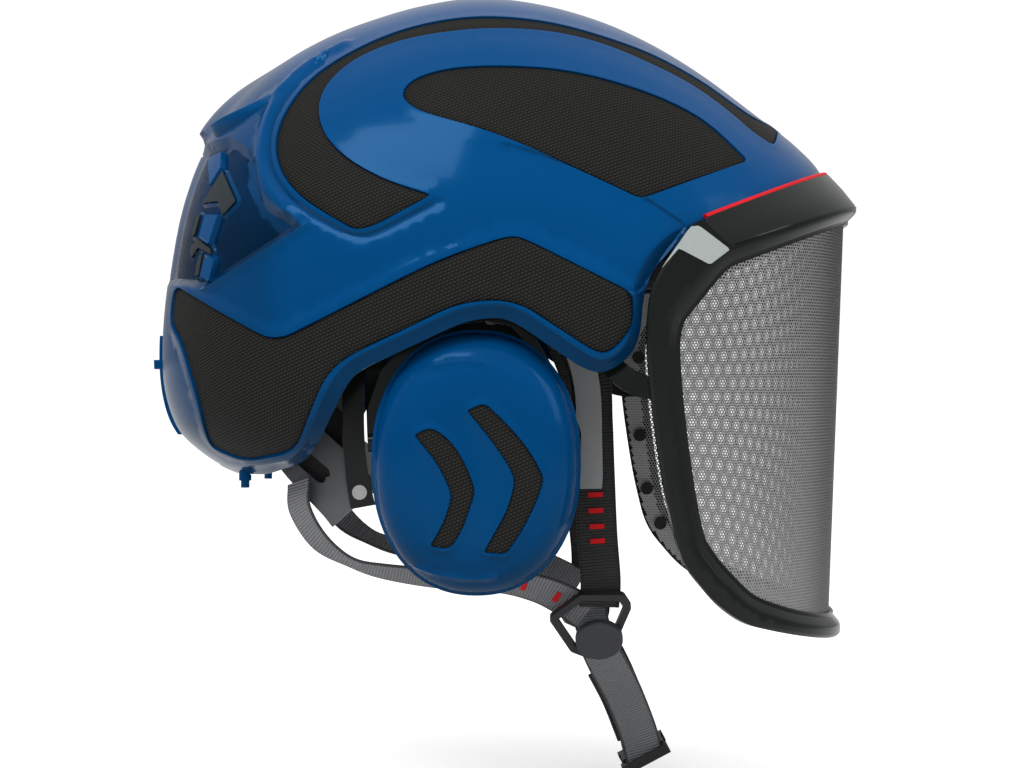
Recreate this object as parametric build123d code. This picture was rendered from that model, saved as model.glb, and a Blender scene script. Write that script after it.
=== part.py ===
from build123d import *
from functools import lru_cache
import math
import os

# Forestry helmet: shell with textured inlays, liner, headband, nape cradle with size knob,
# hinged mesh visor, two swinging ear cups and a two-layer chin strap.
# Frame: +X forward (towards the face), +Y to the wearer's left, +Z up, millimetres.
# Origin: midpoint between the ears, on the line through the centres of both ear cups.

# ---------------------------------------------------------------- driving dimensions
SHELL_HALF_WIDTH = 115.0
SHELL_CENTRE_X, SHELL_CENTRE_Z = 5.0, 48.0
SHELL_ROUNDNESS = 2.4  # superellipse exponent of every section through the left-right axis
SHELL_WALL = 3.0
SHELL_PROFILE = [  # silhouette on the symmetry plane, (x, z), from the brim over the crown
    (152, 108), (147.5, 122), (136.5, 134), (119, 147.5), (97, 164), (75, 177.5), (53, 187.5),
    (26.5, 195), (0, 197.8), (-22, 195), (-44, 189), (-66, 180.5), (-86, 169), (-104, 154),
    (-118, 135), (-128, 110), (-134, 80), (-137, 50), (-136, 28), (-130, 11), (-121, 2),
    (-108, -6), (-80, -14), (0, -22), (90, 0), (138, 50), (150, 85),
]
SHELL_EDGE = [  # lower edge in side view: rear, ear arch, temple corner, brim
    (-170, -9), (-84, -6), (-72, -3.5), (-64, 3.5), (-51, 30), (-46, 35.5), (-24, 46), (-6, 54),
    (3, 56.3), (9, 56.3), (15, 54.3), (43, 36), (50, 35.2), (57.5, 38.5), (63, 45), (65.2, 52),
    (65.5, 66), (70, 76.5), (78, 84), (88, 88), (150, 112), (175, 118), (175, 230), (-170, 230),
]
SIDE_BAND = [  # textured band along the lower edge, side view
    (-123, 71), (-97, 57), (-79.5, 48.5), (-53, 60), (-21, 75.5), (15, 88), (21, 86), (60, 66),
    (61, 62), (60, 54), (55.5, 47), (49, 43), (31, 53), (17, 61.5), (-3, 62.5), (-24, 53.5),
    (-51, 41), (-59, 32), (-71, 7), (-91, 1), (-97, 1), (-108, 6), (-113, 24), (-121, 48),
    (-127, 56), (-126, 66),
]
CROWN_BAND = [  # hook-shaped textured band along the crown, side view
    (128, 140), (116, 142), (105, 149), (94, 157), (72.5, 168), (51, 174.5), (30, 180),
    (5, 182), (-17, 180), (-38, 174), (-59, 162.5), (-71, 152), (-79, 138), (-81, 126),
    (-78, 115), (-70, 105), (-58, 97), (-46.5, 92), (-39, 94), (-20, 104), (-35, 110.5),
    (-50, 119), (-59, 128), (-63, 137), (-63, 146.5), (-58, 155.5), (-48, 164), (-32, 170.5),
    (-16, 173.5), (5, 175.5), (30, 175), (51, 170.5), (72, 162), (89, 154), (104, 143),
    (114, 133.5), (122, 129),
]
TEMPLE_INLAY = [  # leaf-shaped textured inlay above the temple, side view
    (-30, 146), (-27, 151), (-20.5, 154.5), (-10, 157), (5, 158), (30, 157.5), (50, 154),
    (71, 148), (87, 141), (97, 134), (108, 122), (66, 104.5), (49, 112), (29, 120), (5.5, 130),
    (-20, 137.5), (-27, 141.5),
]
INLAY_DEPTH = 1.2

EAR_CAP_A, EAR_CAP_B = 40.4, 51.5  # half width and half height of the ear cup's cap
EAR_ROUNDNESS = 2.2
EAR_INNER_Y, EAR_OUTER_Y = 74.0, 113.5  # cushion face and cap crown, from the symmetry plane
EAR_HINGE_Y, EAR_HINGE_Z = 98.0, 78.0
EAR_SWING_PIN_R = 1.6
YOKE_PIN_Y, YOKE_PIN_Z, YOKE_PIN_R = 90.4, 8.0, 1.5
YOKE_RIVET_X, YOKE_RIVET_Z = 4.0, 63.0
RUNNING_GAP = 0.06  # radial clearance of every pivot

VISOR_PIVOT_X, VISOR_PIVOT_Z = 46.0, 93.0
VISOR_PIN_R = 2.5
VISOR_HALF_WIDTH = 112.0
VISOR_REAR_X, VISOR_FRONT_X = 66.0, 162.5
VISOR_ROUNDNESS = 2.3
VISOR_LEAN = 7.0 / 182.0  # the visor's front leans back this much per millimetre of height
VISOR_TOP_Z = 105.0
VISOR_WALL = 4.5
VISOR_OUTER = [  # outer edge of the visor frame below its roof, side view
    (99.3, 84.5), (86, 92), (79, 90), (71.5, 78.5), (67, 66.5), (65.8, 49), (68.7, 18),
    (73.5, -12.5), (79, -34), (83, -42), (96, -56.5), (106.5, -63.5), (121, -67.5), (142, -73),
    (172, -80), (172, 110.5),
]
VISOR_OPENING = [  # the opening that the mesh fills, side view
    (101, 79.5), (94.5, 74.5), (81, 56), (79.6, 46.5), (80.8, 28), (83.2, 7.5), (86.7, -15),
    (90, -29.5), (97, -39), (110.5, -52.5), (129, -59.5), (180, -72.5), (180, 108),
]
MESH_THICKNESS = 0.8

WEBBING_WIDTH, WEBBING_THICKNESS = 16.5, 1.3
HEADBAND_A, HEADBAND_B, HEADBAND_X = 97.0, 79.0, 3.0
HEADBAND_LOW_Z, HEADBAND_HIGH_Z, HEADBAND_WALL = 73.0, 98.0, 1.8
CRADLE_RISE = 42.0  # the crown straps reach this far above the headband

KNOB_X, KNOB_Z, KNOB_R = -96.0, 13.0, 16.0
HOUSING_FRONT_X = KNOB_X + 11.5
SHAFT_R = 2.0
PINION_TEETH, PINION_PITCH_R = 10, 6.0
RACK_TRAVEL = 8.0

BUCKLE_CENTRE = (72.0, 0.0, -131.0)
BUCKLE_TILT = 28.0  # the buckle's width rises this many degrees towards the front
HOOK_X, HOOK_Y, HOOK_R, HOOK_COLLAR_R = -98.0, 42.0, 1.8, 2.6
HOOK_SHOULDER_Z, HOOK_LENGTH = -9.5, 3.0

RIGHT, LEFT = -1, 1
PARTS = {}


# ---------------------------------------------------------------- shared geometry
def superellipse_h(g, n):
    """Height of a unit superellipse at distance g from its axis."""
    return max(0.0, 1 - abs(g) ** n) ** (1 / n)


@lru_cache(maxsize=None)
def dome(grow=0.0, sections=13):
    """The helmet's egg-shaped outer form as a solid, grown on every side."""
    cap_angle = math.asin(0.985)
    wires = []
    for i in range(sections):
        h = math.sin(cap_angle * (2 * i / (sections - 1) - 1))
        g = superellipse_h(h, SHELL_ROUNDNESS)
        ring = []
        for x, z in SHELL_PROFILE:
            dx, dz = x - SHELL_CENTRE_X, z - SHELL_CENTRE_Z
            size = g * (1 + grow / math.hypot(dx, dz))
            half_width = (SHELL_HALF_WIDTH + grow) * h
            ring.append((SHELL_CENTRE_X + dx * size, half_width, SHELL_CENTRE_Z + dz * size))
        wires.append(Wire([Edge.make_spline([Vector(*p) for p in ring], periodic=True)]))
    return Solid.make_loft(wires)


def side_face(outline, grow=0.0):
    """A side-view outline as a flat face in the XZ plane."""
    face = make_face(Polyline(*outline, close=True))
    if grow:
        face = offset(face, amount=grow, kind=Kind.INTERSECTION)
    return Plane.XZ * face


def side_prism(outline, grow=0.0, half=160.0):
    """A side-view outline extruded across the whole helmet."""
    return extrude(side_face(outline, grow), amount=half, both=True)


def box(x0, x1, y0, y1, z0, z1):
    """An axis-aligned box from its limits."""
    centre = Pos((x0 + x1) / 2, (y0 + y1) / 2, (z0 + z1) / 2)
    return centre * Box(abs(x1 - x0), abs(y1 - y0), abs(z1 - z0))


def rod(start, end, radius):
    """A round rod between two points."""
    a, b = Vector(*start), Vector(*end)
    plane = Plane(origin=a, z_dir=b - a)
    return extrude(plane * Circle(radius), amount=(b - a).length)


def axle(x0, x1, y, z, radius):
    """A rod running front to back."""
    return rod((x0, y, z), (x1, y, z), radius)


def peg(x, z, y0, y1, radius):
    """A rod running from left to right."""
    return rod((x, y0, z), (x, y1, z), radius)


def ribbon(points, widths, width, thickness, ruled=False):
    """A flat band through points: widths gives the direction of its width at each of them."""
    path = [Vector(*p) for p in points]
    wires = []
    for i, point in enumerate(path):
        before, after = path[max(i - 1, 0)], path[min(i + 1, len(path) - 1)]
        tangent = (after - before).normalized()
        across = Vector(*widths[i])
        across = (across - tangent * across.dot(tangent)).normalized()
        plane = Plane(origin=point, x_dir=across, z_dir=tangent)
        wide = width[i] if isinstance(width, (list, tuple)) else width
        u, v = wide / 2, thickness / 2
        corners = [(-u, -v), (u, -v), (u, v), (-u, v)]
        wires.append(Wire.make_polygon([plane.from_local_coords(c) for c in corners], close=True))
    return Solid.make_loft(wires, ruled)


def on_side(points, side):
    """Points given for y > 0, moved to one side of the symmetry plane."""
    return [(x, side * y, z) for x, y, z in points]


def both_sides(part):
    """A right-hand and a left-hand copy of a part modelled on the right."""
    right = solids_of(part)
    return right + [s for solid in right for s in solids_of(mirror(solid, about=Plane.XZ))]


def solids_of(shape):
    """Every solid of a shape, or of a list of shapes."""
    if isinstance(shape, (list, tuple)):
        return [s for part in shape for s in solids_of(part)]
    return list(shape.solids())


def keep(name, shape):
    """Stores a finished node under its name."""
    PARTS[name] = Compound(children=solids_of(shape))


def oval(half_x, half_z, roundness, y, centre_x=0.0, centre_z=0.0, count=28):
    """A closed superellipse wire facing Y at the given distance from the symmetry plane."""
    points = []
    for i in range(count):
        t = 2 * math.pi * i / count
        c, s = math.cos(t), math.sin(t)
        x = half_x * math.copysign(abs(c) ** (2 / roundness), c)
        z = half_z * math.copysign(abs(s) ** (2 / roundness), s)
        points.append(Vector(centre_x + x, y, centre_z + z))
    return Wire([Edge.make_spline(points, periodic=True)])


def oval_stack(levels, side=RIGHT):
    """A solid lofted through ovals: levels lists (distance from symmetry plane, scale in X, in Z)."""
    return Solid.make_loft([oval(a, b, EAR_ROUNDNESS, side * y) for y, a, b in levels])


# ---------------------------------------------------------------- shell and its inlays
@lru_cache(maxsize=None)
def skin(inner, outer):
    """The layer between two offsets of the dome."""
    return dome(outer) - dome(inner)


def vent_plane(side):
    """A plane facing out of the shell's rear flank, its local y pointing up."""
    return Plane(origin=(-60, side * 40, 0), x_dir=(-0.6 * side, -0.8, 0), z_dir=(-0.8, side * 0.6, 0))


def vent_prism(side, low, high, half_width):
    """An arrow-shaped vent through the rear flank of the shell, pointing up."""
    plane = vent_plane(side)
    notch = low + (high - low) * 0.3
    arrow = [(0, high), (half_width, low), (0, notch), (-half_width, low)]
    return extrude(plane * make_face(Polyline(*arrow, close=True)), amount=90)


VENTS = [(106, 126, 9.0), (85, 101, 7.5), (68, 80, 6.0)]  # low z, high z, half width


def outer_shell():
    shell = skin(-SHELL_WALL, 0) & side_prism(SHELL_EDGE)
    recess = skin(-INLAY_DEPTH, 1.0)
    for outline in (SIDE_BAND, CROWN_BAND, TEMPLE_INLAY):
        shell -= recess & side_prism(outline)
    for side in (RIGHT, LEFT):
        for low, high, half_width in VENTS:
            shell -= vent_prism(side, low, high, half_width)
    return max(shell.solids(), key=lambda s: s.volume)


def inlay(outline):
    """A textured inlay lying in its recess on both sides of the shell."""
    layer = skin(0.05 - INLAY_DEPTH, -0.15) & side_prism(outline, -0.2)
    return [s for s in layer.solids() if s.volume > 50]


def vent_grilles():
    """Slotted plates behind the vents, one on each side."""
    layer = skin(-SHELL_WALL - 1.6, -SHELL_WALL - 0.1)
    plates = []
    for side in (RIGHT, LEFT):
        plate = layer & vent_prism(side, 62, 134, 18)
        for z in range(88, 120, 6):
            plate -= extrude(vent_plane(side) * Pos(0, z) * Rectangle(9, 2.4), amount=90)
        plates.append(max(plate.solids(), key=lambda s: s.volume))
    return plates


def rear_clip():
    """The lamp-band clip standing on the rear of the shell."""
    bar = skin(0.1, 2.6) & box(-150, -100, -9, 9, 9, 52)
    nub = skin(0.1, 5.0) & box(-150, -100, -9, 9, 37.5, 41.5)
    return bar + nub


def cape_hooks():
    """Two pegs under the rear rim that a neck cape hangs on, each with a collar above its pin."""
    pegs = []
    for side in (RIGHT, LEFT):
        shoulder = (HOOK_X, side * HOOK_Y, HOOK_SHOULDER_Z)
        collar = rod((HOOK_X, side * HOOK_Y, -3.0), shoulder, HOOK_COLLAR_R)
        pin = rod(shoulder, (HOOK_X, side * HOOK_Y, HOOK_SHOULDER_Z - HOOK_LENGTH), HOOK_R)
        peg = collar + pin - skin(-SHELL_WALL - 0.1, 0.08)
        pegs.append(min(peg.solids(), key=lambda s: s.center().Z))
    return pegs


# ---------------------------------------------------------------- inside the shell
def ellipse_prism(a, b, z0, z1):
    """An elliptical column around the head."""
    return Pos(HEADBAND_X, 0, z0) * extrude(Ellipse(a, b), amount=z1 - z0)


def impact_liner():
    liner = skin(-22, -5) & box(-200, 200, -200, 200, 106, 260)
    for y in (-34, 0, 34):  # air channels running front to back
        liner -= box(-200, 200, y - 5, y + 5, 100, 260) & dome(-17)
    return max(liner.solids(), key=lambda s: s.volume)


def headband():
    low, high, wall = HEADBAND_LOW_Z, HEADBAND_HIGH_Z, HEADBAND_WALL
    ring = ellipse_prism(HEADBAND_A, HEADBAND_B, low, high)
    ring -= ellipse_prism(HEADBAND_A - wall, HEADBAND_B - wall, low - 1, high + 1)
    for side in (RIGHT, LEFT):
        for x in (-24, -12, 0, 12, 24):  # lightening slots beside the ears
            ring -= box(x - 3.5, x + 3.5, side * 60, side * 90, 80, 92)
    return ring - both_sides(rivet_holes())


def brow_pad():
    gap, thick = 0.1, 4.5
    outer = HEADBAND_WALL + gap
    inner = outer + thick
    pad = ellipse_prism(HEADBAND_A - outer, HEADBAND_B - outer, HEADBAND_LOW_Z, HEADBAND_HIGH_Z - 2)
    pad -= ellipse_prism(HEADBAND_A - inner, HEADBAND_B - inner, HEADBAND_LOW_Z - 1, HEADBAND_HIGH_Z)
    return pad & box(48, 120, -90, 90, 0, 120)


def crown_ellipsoid(grow):
    """The half ellipsoid that the crown straps follow."""
    ball = scale(Sphere(1.0), by=(HEADBAND_A - 2 + grow, HEADBAND_B - 2 + grow, CRADLE_RISE + grow))
    return Pos(HEADBAND_X, 0, HEADBAND_HIGH_Z + 0.3) * ball


def cradle_straps():
    layer = crown_ellipsoid(0) - crown_ellipsoid(-1.4)
    layer = layer & box(-200, 200, -200, 200, HEADBAND_HIGH_Z + 0.3, 260)
    slabs = [Pos(HEADBAND_X, 0, 120) * Rot(0, 0, angle) * Box(260, 20, 80) for angle in (38, -38)]
    return layer & (slabs[0] + slabs[1])


def crown_pad():
    layer = crown_ellipsoid(6) - crown_ellipsoid(0.3)
    return layer & (Pos(HEADBAND_X, 0, 100) * extrude(Ellipse(52, 40), amount=80))


def headband_hangers():
    """Four struts that hold the headband inside the shell."""
    inside = dome(-SHELL_WALL - 0.1)
    band = ellipse_prism(HEADBAND_A + 0.1, HEADBAND_B + 0.1, 0, 200)
    struts = []
    for angle in (38, -38, 160, -160):
        bar = Pos(HEADBAND_X, 0, 86) * Rot(0, 0, angle) * Pos(80, 0, 0) * Box(160, 14, 9)
        struts += [max(((bar & inside) - band).solids(), key=lambda s: s.volume)]
    return struts


def side_brackets():
    """Right and left carriers of the visor boss and of the ear arm's clevis."""
    outline = [(-20, 70), (20, 70), (42, 84), (56, 84), (56, 102), (20, 102), (-20, 92)]
    base = skin(-SHELL_WALL - 2.9, -SHELL_WALL - 0.1) & side_prism(outline) & box(-90, 90, -200, 0, 0, 200)
    inside = dome(-SHELL_WALL - 1)
    boss = peg(VISOR_PIVOT_X, VISOR_PIVOT_Z, -96.0, -120, 7) & inside
    bracket = base + boss
    for x in (-14.0, 11.0):
        ear = box(x, x + 3, -(EAR_HINGE_Y - 4), -120, EAR_HINGE_Z - 5, EAR_HINGE_Z + 6)
        bracket += ear & inside
    bracket -= axle(-30, 30, -EAR_HINGE_Y, EAR_HINGE_Z, EAR_SWING_PIN_R + 0.02)
    bracket -= peg(VISOR_PIVOT_X, VISOR_PIVOT_Z, -90, -104.2, VISOR_PIN_R + 0.02)
    return both_sides(max(bracket.solids(), key=lambda s: s.volume))


# ---------------------------------------------------------------- ear cups
def ear_arm():
    """The swinging arm: hinge barrel, flat stem and the seat of the yoke."""
    barrel = axle(-10.6, 10.6, -EAR_HINGE_Y, EAR_HINGE_Z, 4.2)
    stem = box(-9, 9, -94.6, -91.5, 58, EAR_HINGE_Z)
    web = box(-9, 9, -98, -91.5, EAR_HINGE_Z - 3, EAR_HINGE_Z + 3)
    arm = barrel + stem + web
    arm -= axle(-20, 20, -EAR_HINGE_Y, EAR_HINGE_Z, EAR_SWING_PIN_R + RUNNING_GAP)
    return arm - peg(YOKE_RIVET_X, YOKE_RIVET_Z, -90, -99, 2.02)


def ear_arm_pin():
    pin = axle(-16, 16, -EAR_HINGE_Y, EAR_HINGE_Z, EAR_SWING_PIN_R)
    return pin + axle(-17.2, -14.1, -EAR_HINGE_Y, EAR_HINGE_Z, 2.8)


YOKE_OUTLINE = [
    (-43, 4), (-43, 22), (-38, 36), (-26, 50), (-10, 61), (-4, 69), (12, 69), (17, 61), (28.5, 41),
    (37, 25), (41.5, 12), (41.5, 4), (37.2, 4), (37.2, 12), (34, 23.5), (26, 39.5), (14, 54), (4, 56),
    (-8, 54.5), (-21, 46.5), (-32, 34), (-37.5, 20), (-37.5, 4),
]


def ear_yoke():
    """The wishbone that carries the cup between two pins."""
    plate = Pos(0, -88.4, 0) * extrude(side_face(YOKE_OUTLINE), amount=3.0)
    for x0, x1 in ((-43, -37.4), (37.2, 41.5)):
        plate += axle(x0, x1, -YOKE_PIN_Y, YOKE_PIN_Z, 3.6)
    plate -= axle(-60, 60, -YOKE_PIN_Y, YOKE_PIN_Z, YOKE_PIN_R + RUNNING_GAP)
    return plate - peg(YOKE_RIVET_X, YOKE_RIVET_Z, -80, -99, 2.02)


def yoke_rivet():
    shank = peg(YOKE_RIVET_X, YOKE_RIVET_Z, -87.1, -96, 2.0)
    inner_head = peg(YOKE_RIVET_X, YOKE_RIVET_Z, -87.1, -88.3, 3.6)
    return shank + inner_head + peg(YOKE_RIVET_X, YOKE_RIVET_Z, -94.7, -96, 3.6)


def yoke_pins():
    ends = ((-42.8, -29.7), (29.7, 41.4))
    return [axle(x0, x1, -YOKE_PIN_Y, YOKE_PIN_Z, YOKE_PIN_R) for x0, x1 in ends]


CUP_A, CUP_B = 32.5, 43.0


def ear_cup():
    """The hollow inner cup that the cushion and the cap sit on."""
    cup = oval_stack([(86, CUP_A + 2.4, CUP_B + 2.4), (88.3, CUP_A + 2.4, CUP_B + 2.4)])
    cup += oval_stack([(88, CUP_A, CUP_B), (104, CUP_A - 1, CUP_B - 1), (108, CUP_A - 5, CUP_B - 5)])
    hollow = [(85, CUP_A - 3, CUP_B - 3), (103, CUP_A - 4, CUP_B - 4), (105.5, CUP_A - 7, CUP_B - 7)]
    cup -= oval_stack(hollow)
    return cup - axle(-60, 60, -YOKE_PIN_Y, YOKE_PIN_Z, YOKE_PIN_R + 0.02)


CAP_LEVELS = [(96.5, 0), (99, 0.2), (103, 0.8), (107.5, 3.0), (111, 8.5), (113, 17.0), (113.5, 24.0)]


def cap_form(grow):
    """The cap's outer form, shrunk when grow is negative."""
    levels = []
    for i, (y, inset) in enumerate(CAP_LEVELS):
        lift = grow if i > 1 else 0
        levels.append((y + lift, EAR_CAP_A - inset + grow, EAR_CAP_B - inset + grow))
    return oval_stack(levels)


CHEVRONS = [  # the two arrow inlays of the cap, side view
    [(-3.5, 21.5), (4.5, 23.5), (27, -2.5), (14.5, -35.5), (2.5, -34.5), (15.5, -2)],
    [(-23.5, 13), (-14.5, 13.5), (3, -7.5), (-9.5, -34.5), (-17.5, -33.5), (-10.5, -10)],
]
CHEVRON_DEPTH = 0.8


def chevron_prism(outline, grow=0.0):
    return Pos(0, -90, 0) * extrude(side_face(outline, grow), amount=40)


def ear_cap():
    cap = cap_form(0) - cap_form(-2.2) - box(-80, 80, -96.6, -80, -80, 80)
    groove = cap_form(1) - cap_form(-CHEVRON_DEPTH)
    for outline in CHEVRONS:
        cap -= groove & chevron_prism(outline)
    return max(cap.solids(), key=lambda s: s.volume)


def ear_chevrons():
    layer = cap_form(-0.1) - cap_form(0.05 - CHEVRON_DEPTH)
    return [max((layer & chevron_prism(o, -0.15)).solids(), key=lambda s: s.volume) for o in CHEVRONS]


def ear_cushion():
    """The sealing ring that rests on the head."""
    levels = [(EAR_INNER_Y, 31, 41), (76, 34.5, 45), (80, 36.5, 47), (84, 36, 46.5), (85.9, 34.5, 45)]
    outer = oval_stack(levels)
    return outer - oval_stack([(EAR_INNER_Y - 1, 23, 33), (80, 20, 30), (87, 20, 30)])


def ear_foam():
    return oval_stack([(86.5, CUP_A - 3.4, CUP_B - 3.4), (101, CUP_A - 4.6, CUP_B - 4.6)])


def ear_parts():
    """Every ear node on the right, mirrored to the left."""
    makers = {
        "ear_arm": ear_arm, "ear_arm_pin": ear_arm_pin, "ear_yoke": ear_yoke, "yoke_rivet": yoke_rivet,
        "yoke_pins": yoke_pins, "ear_cup": ear_cup, "ear_cap": ear_cap, "ear_chevrons": ear_chevrons,
        "ear_cushion": ear_cushion, "ear_foam": ear_foam,
    }
    for name, maker in makers.items():
        made = maker()
        right = Compound(children=solids_of(made))
        keep(name + "_right", right)
        keep(name + "_left", mirror(right, about=Plane.XZ))


# ---------------------------------------------------------------- visor
def visor_plan_x(y, inset=0.0):
    """X of the visor's outer surface, at the height of its top edge, for a distance y from the centre."""
    reach = VISOR_FRONT_X - VISOR_REAR_X - inset
    return VISOR_REAR_X + reach * superellipse_h(y / (VISOR_HALF_WIDTH - inset), VISOR_ROUNDNESS)


def visor_block(inset):
    """Everything behind the visor's curved surface, set back by inset."""
    half = VISOR_HALF_WIDTH - inset
    turns = [math.sin(math.radians(a)) for a in range(-90, 91, 9)]
    curve = Spline(*[(visor_plan_x(half * t, inset), half * t) for t in turns])
    rear = Polyline((VISOR_REAR_X, half), (30, half), (30, -half), (VISOR_REAR_X, -half))
    face = make_face(Curve() + curve + rear)
    height, above = 220.0, 30.0
    depth = height - above
    start = Pos(-VISOR_LEAN * depth, 0, VISOR_TOP_Z - depth) * face
    return extrude(start, amount=height, dir=Vector(VISOR_LEAN, 0, 1))


def roof_line_z(x):
    """Height of the roof's outer edge."""
    return 84.0 + (x - 99.3) * 0.352


def seat_point(y, grow):
    """The point on the grown dome where the frame's inner edge passes at distance y from the centre."""
    low, high = 60.0, 170.0
    for _ in range(40):
        x = (low + high) / 2
        z = 97.0 + (x - 90.0) * 0.424
        dx, dz = x - SHELL_CENTRE_X, z - SHELL_CENTRE_Z
        radius = dome_radius(math.atan2(dz, dx)) + grow
        inside = math.hypot(dx, dz) < radius * superellipse_h(y / (SHELL_HALF_WIDTH + grow), SHELL_ROUNDNESS)
        low, high = (x, high) if inside else (low, x)
    return x, z


def dome_radius(angle):
    """Distance from the shell's centre to its silhouette at an angle above the horizontal."""
    best = None
    for (x0, z0), (x1, z1) in zip(SHELL_PROFILE, SHELL_PROFILE[1:] + SHELL_PROFILE[:1]):
        a0 = math.atan2(z0 - SHELL_CENTRE_Z, x0 - SHELL_CENTRE_X)
        a1 = math.atan2(z1 - SHELL_CENTRE_Z, x1 - SHELL_CENTRE_X)
        if a0 <= angle <= a1 and a1 - a0 < math.pi:
            share = (angle - a0) / (a1 - a0)
            r0 = math.hypot(x0 - SHELL_CENTRE_X, z0 - SHELL_CENTRE_Z)
            r1 = math.hypot(x1 - SHELL_CENTRE_X, z1 - SHELL_CENTRE_Z)
            best = r0 + (r1 - r0) * share
    return best


SEAT_HALF_WIDTH = 99.0  # the frame's inner edge runs this far round each side of the shell
ROOF_OUTER_HALF_WIDTH = 109.5
ROOF_STATIONS = [math.sin(math.radians(a)) for a in range(-90, 91, 10)]


def edge_band(grow_in, grow_out, depth, reach):
    """A band along the frame's inner edge: reach 0 ends it near the shell, 1 at the visor's surface."""
    wires = []
    for t in ROOF_STATIONS:
        y_in = SEAT_HALF_WIDTH * t
        xi, zi = seat_point(abs(y_in), grow_in)
        if reach:
            y_out = ROOF_OUTER_HALF_WIDTH * t
            xo = visor_plan_x(y_out)
            zo = roof_line_z(xo)
        else:
            xo, zo = seat_point(abs(y_in), grow_out)
            y_out = y_in
        corners = [(xi, y_in, zi), (xo, y_out, zo), (xo, y_out, zo - depth), (xi, y_in, zi - depth)]
        wires.append(Wire.make_polygon([Vector(*c) for c in corners], close=True))
    return Solid.make_loft(wires, True)


def visor_frame():
    band = visor_block(0) - visor_block(VISOR_WALL)
    ring = band & (side_prism(VISOR_OUTER) - side_prism(VISOR_OPENING))
    ring = ring & box(60, 200, -130, 130, -100, 130)
    frame = ring + edge_band(2.7, 0, 3.2, 1)
    frame -= arm_screw_holes()
    return max(frame.solids(), key=lambda s: s.volume)


def visor_seal():
    """The soft lip between the frame's inner edge and the shell."""
    return edge_band(0.5, 2.6, 2.4, 0) - dome(0.15)


def visor_mesh():
    sheet = visor_block(VISOR_WALL + 0.1) - visor_block(VISOR_WALL + 0.1 + MESH_THICKNESS)
    outline = [(99, 77), (90, 84), (80, 82), (74, 72), (70, 60), (69, 48), (71.5, 18), (76.5, -12),
               (82, -33), (86, -40), (98, -53), (108, -60), (122, -64), (142, -69.5), (172, -77), (172, 102)]
    sheet = sheet & side_prism(outline) & box(60, 200, -130, 130, -100, 130)
    clearance = peg(ARM_SCREW_X, ARM_SCREW_Z, -120, 120, 4.5)
    return sheet - clearance


ARM_SCREW_X, ARM_SCREW_Z, ARM_SCREW_R = 73.5, 29.5, 2.0


def arm_screw_holes():
    hole = ARM_SCREW_R + 0.05
    return [peg(ARM_SCREW_X, ARM_SCREW_Z, side * 104, side * 110.2, hole) for side in (RIGHT, LEFT)]


def visor_arm():
    """The curved arm from the pivot inside the shell, under its edge, to the frame."""
    points = [
        (46, -93.4, 93), (46, -93.4, 82), (46.2, -93.4, 70), (46.8, -93.6, 60), (48, -94.6, 51),
        (51, -97.4, 42), (56.5, -101, 35), (64, -102.9, 30.5), (71, -103.2, 29.3), (78, -103.2, 29.2),
    ]
    widths = [(1, 0, 0)] * 4 + [(1, 0, 0.1), (0.9, 0, 0.45), (0.62, 0, 0.78), (0.25, 0, 1)] + [(0, 0, 1)] * 2
    arm = ribbon(points, widths, [11, 10, 9.2] + [9] * 7, 4.2)
    eye = peg(VISOR_PIVOT_X, VISOR_PIVOT_Z, -91.4, -95.6, 8)
    arm = arm + eye
    arm -= peg(VISOR_PIVOT_X, VISOR_PIVOT_Z, -90, -99, VISOR_PIN_R + RUNNING_GAP)
    arm = arm & box(0, 200, -105.3, 0, -100, 200)
    seat = peg(ARM_SCREW_X, ARM_SCREW_Z, -104, -107.4, 4.2)
    arm = (arm + seat) & visor_block(VISOR_WALL + 0.03)
    return arm - peg(ARM_SCREW_X, ARM_SCREW_Z, -98, -110, ARM_SCREW_R + 0.05)


def visor_arm_pins():
    """Shoulder screws that the arms turn on."""
    shank = peg(VISOR_PIVOT_X, VISOR_PIVOT_Z, -91, -104, VISOR_PIN_R)
    head = peg(VISOR_PIVOT_X, VISOR_PIVOT_Z, -88.6, -91.1, 5.0)
    socket = peg(VISOR_PIVOT_X, VISOR_PIVOT_Z, -88.5, -90.1, 1.8)
    return shank + head - socket


def visor_arm_screws():
    shank = peg(ARM_SCREW_X, ARM_SCREW_Z, -100.8, -110.0, ARM_SCREW_R)
    return shank + peg(ARM_SCREW_X, ARM_SCREW_Z, -98.9, -100.9, 3.8)


def mesh_clips():
    """Buttons that hold the mesh against the inside of the frame."""
    spots = [(76, 44), (76.5, 6), (80, -20), (86.5, -37)]
    clips = []
    for x, z in spots:
        lean = VISOR_LEAN * (VISOR_TOP_Z - z)
        share = max(0.0, (x + lean - VISOR_REAR_X) / (VISOR_FRONT_X - VISOR_REAR_X - VISOR_WALL - 1))
        y = (VISOR_HALF_WIDTH - VISOR_WALL - 1) * superellipse_h(share, VISOR_ROUNDNESS) - 0.9
        clips.append(rod((x, -(y - 2.0), z), (x, -y, z), 3.0))
    return clips


# ---------------------------------------------------------------- nape cradle and size adjuster
NAPE_PATH = [(-50, 66.5, -19), (-58, 64.5, -10), (-69, 56, 0), (-79, 40, 8), (-86, 20, 12), (-88, 0, 13)]
NAPE_WIDTHS = [(0.6, 0, 0.8), (0.6, 0, 0.8), (0.5, 0, 0.85), (0.3, 0, 0.95), (0.1, 0, 1), (0, 0, 1)]


def round_the_back(path, widths):
    """A path given from the left end to the centre, continued to the right end."""
    other = [(x, -y, z) for x, y, z in reversed(path[:-1])]
    return path + other, widths + list(reversed(widths[:-1]))


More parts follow.
